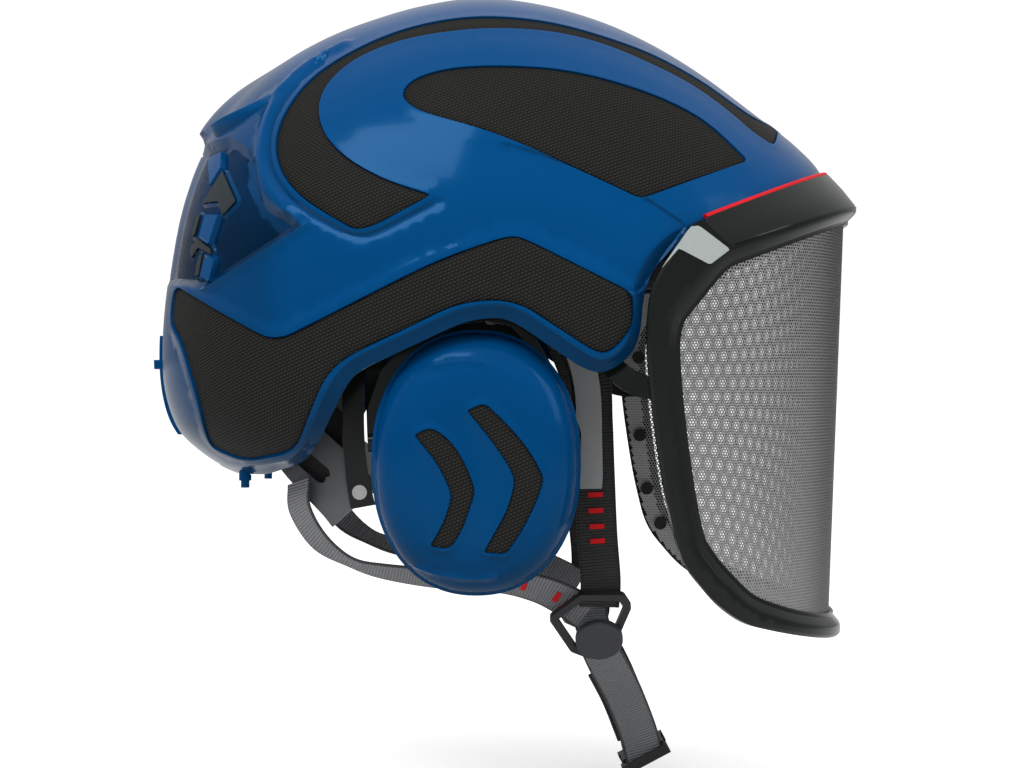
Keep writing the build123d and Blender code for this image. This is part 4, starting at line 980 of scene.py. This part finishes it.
class Sheet:
    """The visor's curved surface unrolled: u runs round the front, positive on the right; v is the height."""
    limit = 1.0

    def __init__(self):
        t = np.linspace(0, math.pi / 2, 400)
        power = 2 / VISOR_ROUNDNESS
        x = VISOR_REAR_X + (VISOR_FRONT_X - VISOR_REAR_X) * np.cos(t) ** power
        y = VISOR_HALF_WIDTH * np.sin(t) ** power
        x, y = np.append(x, 30.0), np.append(y, VISOR_HALF_WIDTH)
        self.x, self.y = x, y
        self.u = np.concatenate([[0], np.cumsum(np.hypot(np.diff(x), np.diff(y)))])

    def polar(self, uv):
        return None, np.full(len(uv), 1e9), np.zeros(len(uv))

    def point(self, uv):
        u = np.abs(uv[:, 0])
        x = np.interp(u, self.u, self.x) + VISOR_LEAN * (uv[:, 1] - VISOR_TOP_Z)
        return np.column_stack([x, -np.sign(uv[:, 0]) * np.interp(u, self.u, self.y), uv[:, 1]])

    def normal(self, uv, eps=0.5):
        du, dv = np.array([eps, 0]), np.array([0, eps])
        a = self.point(uv + du) - self.point(uv - du)
        b = self.point(uv + dv) - self.point(uv - dv)
        return unit(np.cross(b, a))

    def flat(self, points, side):
        """Map points of side-view points."""
        line = np.asarray(points, float)
        x = line[:, 0] - VISOR_LEAN * (line[:, 1] - VISOR_TOP_Z)
        return np.column_stack([np.interp(-x, -self.x, self.u) * -side, line[:, 1]])

    def unrolled(self, outline, step=2.0):
        """The closed loop on the map of a side-view outline that runs from top front to bottom front."""
        line = resample(rounded(outline, closed=False), step, closed=False)
        x = line[:, 0] - VISOR_LEAN * (line[:, 1] - VISOR_TOP_Z)
        behind = np.nonzero(x < VISOR_FRONT_X - 0.05)[0]
        run = self.flat(line[behind[0]:behind[-1] + 1], RIGHT)
        top, bottom = [0.0, run[0, 1] + 0.1], [0.0, run[-1, 1] - 0.1]
        right = resample(np.vstack([[top], run, [bottom]]), step, closed=False)
        left = right[-2:0:-1] * np.array([-1, 1])
        return np.vstack([right, left])


sheet = Sheet()
OUTER_LOOP = sheet.unrolled(VISOR_OUTER)
OPENING_LOOP = sheet.unrolled(VISOR_OPENING)
HIGHLIGHT_PATCHES = [resample(sheet.flat(CORNER_HIGHLIGHT, side), 1.5) for side in (RIGHT, LEFT)]


def frame_height(uv):
    """The frame's face: flat outside, a bevel down to a thin lip round the opening, rounded outer edge."""
    inwards = signed_distance(uv, OPENING_LOOP)
    outwards_gap = -signed_distance(uv, OUTER_LOOP)
    h = -LIP_DEPTH * (1 - np.clip((inwards - LIP) / BEVEL, 0, 1))
    h += 0.25 * ramp(inwards, LIP + BEVEL - 0.2, LIP + BEVEL + 0.8)
    below_roof = 1 - ramp(uv[:, 1], 80, 86)
    return h - EDGE_ROUNDING * (1 - ramp(outwards_gap, -0.2, 1.2)) * below_roof


def build_visor_frame():
    lines = [(offset_loop(OPENING_LOOP, d), True) for d in (0, LIP - 0.15, LIP + 0.15, LIP + BEVEL - 0.2,
                                                            LIP + BEVEL + 0.8)]
    lines += [(offset_loop(OUTER_LOOP, -d), True) for d in (0, 0.6, 1.2)]
    # Edges of the painted highlight patches, so that they stay crisp.
    lines += [(loop, True) for loop in HIGHLIGHT_PATCHES]

    def keep(points):
        return (signed_distance(points, OUTER_LOOP) < 0) & (signed_distance(points, OPENING_LOOP) > 0)

    made = skin_object("visor_frame_face", sheet, lines, 3.0, keep, frame_height, VISOR_WALL, GLOSS_BLACK,
                       "visor", sides=(LEFT,), inner=level(-VISOR_WALL))[0]
    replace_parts(made, "visor_frame")
    paint_facet_highlights(made)
    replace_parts(build_roof(), "visor_frame")
    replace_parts(build_seal(), "visor_seal")


def paint_facet_highlights(face):
    """Painted highlight: pale faces where the roof turns down into the frame's sides, in place of the
    softbox's reflection on the gloss black.
    """
    mesh = face.data
    mesh.materials.append(FACET_HIGHLIGHT_GREY)
    flat = stored_map(mesh)
    centres = np.array([flat[list(p.vertices)].mean(axis=0) for p in mesh.polygons])
    facing = np.array([p.normal for p in mesh.polygons])
    highlighted = (signed_distance(centres, HIGHLIGHT_PATCHES[0]) < 0) | (signed_distance(centres, HIGHLIGHT_PATCHES[1]) < 0)
    highlighted &= np.sum(facing * sheet.normal(centres), axis=1) > 0.3
    mesh.polygons.foreach_set("material_index", highlighted.astype(int))


SEAT_SHARE, ROOF_HALF_WIDTH = 0.86, 111.0
ROOF_TURNS = np.sin(np.radians(np.linspace(-90, 90, 91)))
ROOF_INNER, ROOF_OUTER = (90.0, 96.6, 0.405), (99.3, 84.6, 0.357)  # x and z of a point, and the slope there


def roof_height(x, line):
    at, z, slope = line
    return z + (x - at) * slope


def seat_point(y, grow, lift=0.0):
    """Where a line lifted above the roof's inner edge passes over the dome at distance y from the middle."""
    low, high = 60.0, 175.0
    share = (1 - min(1.0, y / (SHELL_HALF_WIDTH + grow)) ** SHELL_ROUNDNESS) ** (1 / SHELL_ROUNDNESS)
    for _ in range(40):
        x = (low + high) / 2
        z = roof_height(x, ROOF_INNER) + lift
        d = math.hypot(x - dome.cx, z - dome.cz)
        reach = dome.radius(math.atan2(z - dome.cz, x - dome.cx)) + grow
        low, high = (x, high) if d < reach * share else (low, x)
    return x, z


def seat_rail(grow, lift=0.0):
    """A line across the front of the shell, one point for every station of the roof."""
    width = SEAT_SHARE * (SHELL_HALF_WIDTH + grow)
    points = [(t * width, seat_point(abs(t * width), grow, lift)) for t in ROOF_TURNS]
    return np.array([(x, y, z) for y, (x, z) in points])


def roof_rail():
    """The roof's outer edge, on the visor's curved surface."""
    y = ROOF_TURNS * ROOF_HALF_WIDTH
    reach = (1 - (np.abs(y) / VISOR_HALF_WIDTH) ** VISOR_ROUNDNESS) ** (1 / VISOR_ROUNDNESS)
    x = VISOR_REAR_X + (VISOR_FRONT_X - VISOR_REAR_X) * reach
    z = roof_height(x, ROOF_OUTER)
    return np.column_stack([x + VISOR_LEAN * (z - VISOR_TOP_Z), y, z])


def build_roof():
    """The flat-faced rail that closes the gap between the visor and the shell."""
    inner, outer = seat_rail(2.7), roof_rail()
    way = outer - inner
    length = np.linalg.norm(way, axis=1)[:, None]
    way = way / length
    up = unit(np.array([0, 0, 1.0]) - way * way[:, 2:3])
    profile = [(0.0, -3.2), (0.0, -0.4), (0.02, 0.0), (0.5, 0.45), (0.96, 0.15), (1.0, -0.2), (1.0, -3.2),
               (0.5, -3.2)]
    sections = [inner + way * length * share + up * rise for share, rise in profile]
    return tube("visor_frame_roof", np.stack(sections, axis=1), GLOSS_BLACK, "visor", angle=30)


def build_seal():
    """The red lip that stands just above the roof's inner edge."""
    section = [(0.6, -1.6), (0.6, 0.8), (1.1, 1.2), (2.1, 1.2), (2.5, 0.8), (2.5, -1.6)]
    rails = [seat_rail(grow, lift) for grow, lift in section]
    return tube("visor_seal_lip", np.stack(rails, axis=1), RED, "visor", angle=40)


MESH_PITCH, WIRE, MESH_DEPTH, MESH_GAUGE = 1.45, 0.56, 4.9, 0.35
MESH_STRIPS, MESH_INSET = 10, 1.5
HEM_WIRE, HEM_OVERLAP, HEM_FROM = 1.0, 3.5, 60.0


def build_visor_mesh():
    """Etched mesh of hexagonal openings, cut into upright strips."""
    limit = offset_loop(OUTER_LOOP, -MESH_INSET)
    low, high = limit.min(axis=0), limit.max(axis=0)
    cells = []
    for k, v in enumerate(np.arange(low[1], high[1], MESH_PITCH * math.sqrt(3) / 2)):
        u = np.arange(MESH_PITCH * 0.5 * (k % 2), high[0], MESH_PITCH)
        u = np.concatenate([-u[u > 0], u])
        cells.append(np.column_stack([u, np.full(len(u), v)]))
    cells = np.vstack(cells)
    cells = cells[signed_distance(cells, limit) < 0]
    borders = np.linspace(-high[0], high[0], MESH_STRIPS + 1)
    behind = (signed_distance(cells, OPENING_LOOP) > HEM_OVERLAP) & (np.abs(cells[:, 0]) > HEM_FROM)
    strip = np.where(behind, -1, np.digitize(cells[:, 0], borders[1:-1]))
    for k in range(MESH_STRIPS):
        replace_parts(mesh_strip(f"visor_mesh_{k + 1}", cells[strip == k], WIRE, MESH_STEEL), "visor_mesh")
    for tag, side in (("right", 1), ("left", -1)):
        hem = cells[behind & (cells[:, 0] * side > 0)]
        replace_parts(mesh_strip("visor_mesh_hem_" + tag, hem, HEM_WIRE, HEM_STEEL), "visor_mesh")


def mesh_strip(name, cells, wire, material):
    """One strip of the mesh: each cell is a ring of wire between its border and its opening."""
    angles = np.radians(np.arange(30, 390, 60))
    ring = np.column_stack([np.cos(angles), np.sin(angles)]) * MESH_PITCH / math.sqrt(3)
    outer = (cells[:, None] + ring[None]).reshape(-1, 2)
    inner = (cells[:, None] + ring[None] * (1 - wire / MESH_PITCH)).reshape(-1, 2)
    keys, index = np.unique(np.round(outer * 50).astype(int), axis=0, return_inverse=True)
    border = np.zeros((len(keys), 2))
    border[index.reshape(-1)] = outer
    flat = np.vstack([border, inner])
    total = len(flat)
    a = index.reshape(-1, 6)
    b = np.roll(a, -1, axis=1)
    p = len(border) + np.arange(len(inner)).reshape(-1, 6)
    q = np.roll(p, -1, axis=1)
    front = np.stack([a, b, q, p], axis=-1).reshape(-1, 4)
    walls = np.stack([p, q, q + total, p + total], axis=-1).reshape(-1, 4)
    there, back_again = (a * total + b).ravel(), (b * total + a).ravel()
    free = ~np.isin(there, back_again)
    a, b = a.ravel()[free], b.ravel()[free]
    rim = np.stack([b, a, a + total, b + total], axis=-1)
    faces = np.vstack([front, front[:, ::-1] + total, walls, rim])
    verts = np.vstack([surface_points(flat, -MESH_DEPTH), surface_points(flat, -MESH_DEPTH - MESH_GAUGE)])
    obj = new_object(name, verts, faces, material, "visor", np.vstack([flat, flat]))
    outwards(obj)
    return obj


def surface_points(flat, offset):
    return sheet.point(flat) + sheet.normal(flat) * offset


# ---------------------------------------------------------------- ear caps
CAP_A, CAP_B, CAP_ROUNDNESS = 40.4, 51.5, 2.2
CAP_RIM_Y, CAP_RISE = 96.5, 17.3
CHEVRONS = [
    [(-3.6, 20.8, 1.5), (3.5, 23.8, 2.5), (12.3, 15.6, 6), (21, 5.4, 6), (26.8, -5.5, 3), (24.2, -14, 6),
     (17.7, -27.2, 6), (11.8, -35.2, 2), (2.8, -34.4, 1.5), (6.9, -27.2, 6), (12.3, -17.4, 6),
     (15.2, -6.5, 3), (12.3, 0, 5), (4.7, 10.8, 6)],
    [(-24, 11.3, 1.5), (-17.5, 14.5, 3), (-10.4, 10.2, 6), (-4, 1, 6), (0.2, -10.5, 3), (-5, -26, 6),
     (-10, -33.3, 3), (-18, -32, 1.5), (-12, -22, 6), (-9.3, -12, 3), (-14, -1, 6)],
]


def oval_line(a, b, roundness, count=160):
    t = np.linspace(0, 2 * math.pi, count, endpoint=False)
    c, s = np.cos(t), np.sin(t)
    x, z = (np.sign(w) * np.abs(w) ** (2 / roundness) for w in (c, s))
    return np.column_stack([a * x, b * z])


def cap_section():
    g = np.sin(np.linspace(0, math.pi / 2, 200)) ** 0.5
    g[0] = 0
    return np.column_stack([g, CAP_RIM_Y + CAP_RISE * (1 - g ** 5) ** (1 / 2.2)])


cap = Form(oval_line(CAP_A, CAP_B, CAP_ROUNDNESS), (0.0, 0.0), cap_section(), 46.0)
CHEVRON_LOOPS = [cap.to_map(resample(rounded(line), 1.2)) for line in CHEVRONS]
TOP_ARC = cap.to_map(spline([(-29, 33), (-18, 37.5), (-4, 39.5), (9, 38)], 1.5))
LOW_ARC = cap.to_map(spline([(-27, -38.5), (-14, -43.0), (2, -44.5), (14, -42.0)], 1.5))


def cap_height(uv):
    """Height of the ear cap's surface above its plain form."""
    h = np.zeros(len(uv))
    _, reach, rho = cap.polar(uv)
    from_rim = (cap.limit - rho) * reach
    h += 0.9 * (1 - ramp(from_rim, 2.6, 3.4)) - 0.4 * np.exp(-((from_rim - 4.4) / 0.8) ** 2)
    for loop in CHEVRON_LOOPS:
        d = signed_distance(uv, loop)
        h += 0.45 * ramp(d, -0.3, 0.1) * (1 - ramp(d, 0.9, 1.8))
        h = np.where(d < 0, -0.9 + (h + 0.9) * ramp(d, -0.3, 0), h)
    for arc, rise, wide in ((TOP_ARC, 0.6, 1.1), (LOW_ARC, 0.9, 1.3)):
        gap, along = line_distance(uv, arc)
        h += rise * np.exp(-(gap / wide) ** 2) * ramp(along, 0, 0.15) * (1 - ramp(along, 0.85, 1))
    return h


def cap_lines(loops, offsets, rim):
    lines = [(offset_loop(loop, d), True) for loop in loops for d in offsets]
    if rim:
        angles = np.linspace(0, 2 * math.pi, 150, endpoint=False)
        for inset in (0, 2.6, 3.4, 4.4, 5.4):
            reach = cap.limit * cap.radius(angles) - inset
            lines.append((np.column_stack([np.cos(angles), np.sin(angles)]) * reach[:, None], True))
        for arc in (TOP_ARC, LOW_ARC):
            lines.append((arc, False))
    return lines


def build_ear_caps():
    def on_cap(points):
        return cap.holds(points)

    for tag, side in SIDES:
        body = tag + "_cup"
        lines = cap_lines(CHEVRON_LOOPS, (-0.3, 0, 0.9, 1.8), True)
        shell = skin_object("ear_cap_skin_" + tag, cap, lines, 2.2, on_cap, cap_height, 2.0, BLUE_CAP, body,
                            sides=(side,))[0]
        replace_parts(shell, "ear_cap_" + tag)
        for k, loop in enumerate(CHEVRON_LOOPS):
            def inside(points, loop=loop):
                return signed_distance(points, loop) < -0.34

            def crowned(uv, loop=loop):
                return -0.45 + 0.25 * ramp(-signed_distance(uv, loop), 0.35, 0.9)

            borders = cap_lines([loop], (-0.35, -0.9), False)
            plate = skin_object(f"ear_chevron_{k + 1}_{tag}", cap, borders, 1.6, inside, crowned, 0.4, WEAVE,
                                body, sides=(side,))[0]
            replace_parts(plate, "ear_chevrons_" + tag)


# ---------------------------------------------------------------- straps
FRONT_STRAP = [
    (30, 76.9, 94), (31.5, 76.6, 74), (38, 75.4, 54), (45.5, 73.4, 33), (46.8, 72, 16), (47.6, 70.6, -4),
    (48.8, 68.6, -30), (50.3, 66.4, -49), (50, 60.9, -60.5),
]
FRONT_WIDTHS = [(1, -0.24, 0)] * 2 + [(1, -0.12, 0)] + [(1, 0, 0)] * 6
REAR_STRAP = [
    (-73.2, 62, -9), (-72.6, 65.6, -20), (-64.5, 68, -33), (-52, 67.6, -41.5), (-38, 66.4, -45.6),
    (-15, 65, -48.5), (9, 64, -49.5), (25, 62.6, -53), (36, 60.8, -58), (45, 59.6, -63.5),
]
REAR_WIDTHS = [
    (0.65, 0.76, 0), (0.6, 0.76, 0.2), (0.4, 0.8, 0.4), (0.15, 0.92, 0.3), (0.05, 0.88, 0.45), (0, 0.8, 0.6),
    (0, 0.7, 0.7), (0.25, 0.6, 0.75), (0.4, 0.45, 0.8), (0.5, 0.25, 0.83),
]
LOWER_STRAP = [
    (50, 53, -73), (51.2, 47.9, -80), (55, 40.5, -88), (61.5, 30, -101), (68.5, 19, -119), (71.6, 14.5, -131),
]
LOWER_WIDTHS = [(1, 0, 0)] * 2 + [(0.95, 0, 0.25)] + [(0.88, 0, 0.47)] * 3
STRAP_WIDTH, REAR_STRAP_WIDTH, STITCH_LIFT = 16.5, 15.5, 0.75
LAYER_SHIFT = (-1.19, -2.72, -1.02)  # from a lower strap's outer layer to its inner one
FRONT_MARKS, REAR_MARKS = (0.66, 0.70, 0.74, 0.78, 0.82), (0.77, 0.8, 0.9)


def build_straps():
    for tag, side in SIDES:
        front = webbing("front_strap_" + tag, on_side(FRONT_STRAP, side), on_side(FRONT_WIDTHS, side),
                        STRAP_WIDTH, WEB_BLACK, "helmet")
        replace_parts(front, "front_straps")
        rear = webbing("rear_strap_" + tag, on_side(REAR_STRAP, side), on_side(REAR_WIDTHS, side),
                       REAR_STRAP_WIDTH, WEB_DARK, "helmet")
        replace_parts(rear, "rear_straps")
        stitch_marks("front_strap_marks_" + tag, FRONT_STRAP, FRONT_WIDTHS, side, FRONT_MARKS, 6.0)
        stitch_marks("rear_strap_marks_" + tag, REAR_STRAP, REAR_WIDTHS, side, REAR_MARKS, 5.0)
        inner_path = np.array(LOWER_STRAP[2:5]) + LAYER_SHIFT
        body = None if side == RIGHT else "helmet"
        layers = (("outer", LOWER_STRAP, LOWER_WIDTHS, WEB_GREY),
                  ("inner", inner_path, LOWER_WIDTHS[2:5], WEB_BLACK))
        for layer, path, widths, material in layers:
            piece = webbing(f"lower_strap_{layer}_{tag}", on_side(path, side), on_side(widths, side),
                            STRAP_WIDTH, material, body)
            if side == RIGHT:
                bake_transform(piece)
            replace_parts(piece, "lower_strap_" + tag)


def stitch_marks(name, path, widths, side, shares, length):
    """Plain red bar stitches across a strap's outer face, at shares of its length."""
    place, across, normal = path_frames(on_side(path, side), on_side(widths, side), 0.5)
    for k, share in enumerate(shares):
        i = int(share * (len(place) - 1))
        out = normal[i] * (1 if normal[i, 1] * side > 0 else -1)
        along = np.cross(across[i], out)
        middle = place[i] + out * STITCH_LIFT
        square = [along + out * 0.2, along - out * 0.2, -along - out * 0.2, -along + out * 0.2]
        ends = [[middle + across[i] * end + corner for corner in square] for end in (-length / 2, length / 2)]
        tube(f"{name}_{k + 1}", ends, STITCH_RED, "helmet", angle=30)


# ---------------------------------------------------------------- soft parts
SHRINK, PRESSURE, CLOTH_FRAMES = 0.6, 4.0, 20


def inflated(node_name, voxel, cap_mm, body, material):
    """A CAD solid turned into a padded form by cloth simulation, its points moved by no more than cap_mm."""
    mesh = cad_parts[node_name].data.copy()
    obj = bpy.data.objects.new(node_name + "_soft", mesh)
    bpy.context.scene.collection.objects.link(obj)
    mesh.materials.clear()
    mesh.materials.append(material)
    bpy.context.view_layer.objects.active = obj
    remesh = obj.modifiers.new("voxels", "REMESH")
    remesh.mode = "VOXEL"
    remesh.voxel_size = voxel * MM
    apply_modifiers(obj)
    place_vertices(obj.data, vertex_rows(obj.data, "co") - vertex_rows(obj.data, "normal") * SHRINK * MM)
    swell(obj, cap_mm)
    soften(obj, 2, 0.5)
    smooth = obj.modifiers.new("smooth", "SUBSURF")
    smooth.levels = smooth.render_levels = 1
    apply_modifiers(obj)
    obj.data.polygons.foreach_set("use_smooth", [True] * len(obj.data.polygons))
    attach(obj, body)
    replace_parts(obj, node_name)


def apply_modifiers(obj):
    """Bakes all modifiers of an object into its mesh."""
    evaluated = obj.evaluated_get(bpy.context.evaluated_depsgraph_get())
    made = bpy.data.meshes.new_from_object(evaluated)
    obj.modifiers.clear()
    old = obj.data
    obj.data = made
    bpy.data.meshes.remove(old)


def vertex_rows(mesh, key):
    """A vector of every vertex, one a row."""
    rows = np.empty((len(mesh.vertices), 3))
    mesh.vertices.foreach_get(key, rows.ravel())
    return rows


def place_vertices(mesh, rows):
    mesh.vertices.foreach_set("co", rows.ravel())
    mesh.update()


def soften(obj, rounds, factor):
    """Evens out the mesh by moving each point towards its neighbours' mean."""
    mesh = bmesh.new()
    mesh.from_mesh(obj.data)
    for _ in range(rounds):
        bmesh.ops.smooth_vert(mesh, verts=mesh.verts, factor=factor, use_axis_x=True, use_axis_y=True,
                              use_axis_z=True)
    mesh.to_mesh(obj.data)
    mesh.free()


def swell(obj, cap_mm):
    """Inflates a closed mesh with cloth pressure and caps how far its points travel."""
    before = vertex_rows(obj.data, "co")
    cloth = obj.modifiers.new("cloth", "CLOTH")
    cloth.settings.use_pressure = True
    cloth.settings.uniform_pressure_force = PRESSURE
    cloth.settings.effector_weights.gravity = 0
    cloth.settings.quality = 4
    cloth.collision_settings.use_self_collision = False
    cloth.point_cache.frame_start, cloth.point_cache.frame_end = 1, CLOTH_FRAMES
    for number in range(1, CLOTH_FRAMES + 1):
        bpy.context.scene.frame_set(number)
    apply_modifiers(obj)
    move = vertex_rows(obj.data, "co") - before
    length = np.linalg.norm(move, axis=1)[:, None]
    move *= np.minimum(1, cap_mm * MM / np.maximum(length, 1e-9))
    place_vertices(obj.data, before + move)
    bpy.context.scene.frame_set(1)


def build_soft_parts():
    inflated("ear_cushion_right", 2.5, 1.2, "right_cup", CUSHION)
    inflated("ear_cushion_left", 2.5, 1.2, "left_cup", CUSHION)
    inflated("nape_pad", 2.2, 0.8, "helmet", PAD)
    inflated("brow_pad", 2.5, 0.8, "helmet", PAD)
    inflated("crown_pad", 3.0, 1.5, "helmet", PAD)


# ---------------------------------------------------------------- CAD pieces that keep their shape
def both(*stems):
    """The node names of pieces that have one node on each side."""
    return [f"{stem}_{tag}" for stem in stems for tag, _ in SIDES]


CAD_FINISH = [
    (SATIN_BLACK, ["headband", "headband_hangers", "side_brackets", "mesh_clips", "size_knob", "buckle_base",
                   "buckle_tongue", *both("ear_arm", "ear_cup")]),
    (GLOSS_BLACK, ["visor_arms", "rear_strap_guides", *both("ear_yoke")]),
    (BLADE_GREY, ["front_strap_guides"]),
    (CRADLE_GREY, ["nape_cradle", "size_pinion", *both("size_rack")]),
    (DIVIDER_GREY, ["strap_dividers"]),
    (CAP_GREY, ["divider_caps"]),
    (PIN_STEEL, ["visor_arm_pins", "visor_arm_screws", "strap_rivets", "buckle_magnet",
                 *both("ear_arm_pin", "yoke_rivet", "yoke_pins")]),
    (BLUE, ["rear_clip", "cape_hooks"]),
    (LINER, ["impact_liner"]),
    (FOAM, both("ear_foam")),
    (WEB_BLACK, ["cradle_straps"]),
]
ROUNDED = [  # bevel width in millimetres
    (0.8, ["strap_dividers", "visor_arms", *both("ear_yoke")]),
    (0.7, ["nape_cradle"]),
    (0.6, ["size_knob"]),
    (0.5, ["front_strap_guides", "rear_strap_guides"]),
    (0.4, ["buckle_base", "buckle_tongue"]),
]


def finish_cad_pieces():
    for finish, names in CAD_FINISH:
        for name in names:
            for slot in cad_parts[name].material_slots:
                slot.material = finish
    for width, names in ROUNDED:
        for name in names:
            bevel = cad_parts[name].modifiers.new("rounded", "BEVEL")
            bevel.width = width * MM
            bevel.segments = 2
            bevel.limit_method = "ANGLE"
            bevel.angle_limit = math.radians(40)
            bevel.use_clamp_overlap = True


build_shell()
build_inlays()
build_visor_frame()
build_visor_mesh()
build_ear_caps()
build_straps()
build_soft_parts()
finish_cad_pieces()


# ---------------------------------------------------------------- light, floor and camera
def area_light(name, place, target, size, power):
    data = bpy.data.lights.new(name, "AREA")
    data.shape = "RECTANGLE"
    data.size, data.size_y = size
    data.energy = power
    obj = bpy.data.objects.new(name, data)
    obj.location = place
    obj.rotation_euler = (Vector(target) - Vector(place)).to_track_quat("-Z", "Y").to_euler()
    bpy.context.scene.collection.objects.link(obj)


FLOOR_Z, FLOOR_GLOW = -0.142, 0.55
SKY_STRENGTH, BACKDROP = (0.22, 0.85), 1.05  # sky from below to overhead; what the camera sees


def build_stage():
    """A white floor and background for the camera, and a soft studio sky for everything else."""
    floor_mat, tree, shader = principled("floor", (0.9, 0.9, 0.9), 0.9, Emission_Color=(1, 1, 1, 1))
    seen = node(tree, "ShaderNodeLightPath").outputs["Is Camera Ray"]
    link(tree, calc(tree, "MULTIPLY", seen, FLOOR_GLOW), shader.inputs["Emission Strength"])
    bpy.ops.mesh.primitive_plane_add(size=60, location=(0, 0, FLOOR_Z))
    floor = bpy.context.active_object
    floor.name = "floor"
    floor.data.materials.append(floor_mat)
    world = bpy.data.worlds.new("studio")
    bpy.context.scene.world = world
    world.use_nodes = True
    tree = world.node_tree
    background = tree.nodes["Background"]
    background.inputs["Color"].default_value = (1, 1, 1, 1)
    direction = node(tree, "ShaderNodeTexCoord").outputs["Generated"]
    sky = map_range(tree, split(tree, direction)["Z"], -0.3, 1.0, *SKY_STRENGTH, kind="SMOOTHSTEP")
    seen = node(tree, "ShaderNodeLightPath").outputs["Is Camera Ray"]
    strength = node(tree, "ShaderNodeMix", {"Factor": seen, "A": sky, "B": BACKDROP}, data_type="FLOAT")
    link(tree, strength.outputs["Result"], background.inputs["Strength"])
    area_light("key", (-0.45, -1.0, 1.1), (0, 0, 0.08), (0.7, 0.5), 8)
    area_light("front", (1.2, -0.6, 0.7), (0.05, 0, 0.05), (0.5, 0.8), 3)


CAMERA_PLACE, LENS, SENSOR = (0.0141, -0.930, 0.031), 74.3, 36


def build_camera():
    data = bpy.data.cameras.new("camera")
    data.lens = LENS
    data.sensor_width = SENSOR
    data.clip_start = 0.02
    camera = bpy.data.objects.new("camera", data)
    camera.location = CAMERA_PLACE
    camera.rotation_euler = (math.radians(90), 0, 0)
    bpy.context.scene.collection.objects.link(camera)
    bpy.context.scene.camera = camera
    bpy.context.scene.view_settings.view_transform = "Standard"


build_stage()
build_camera()
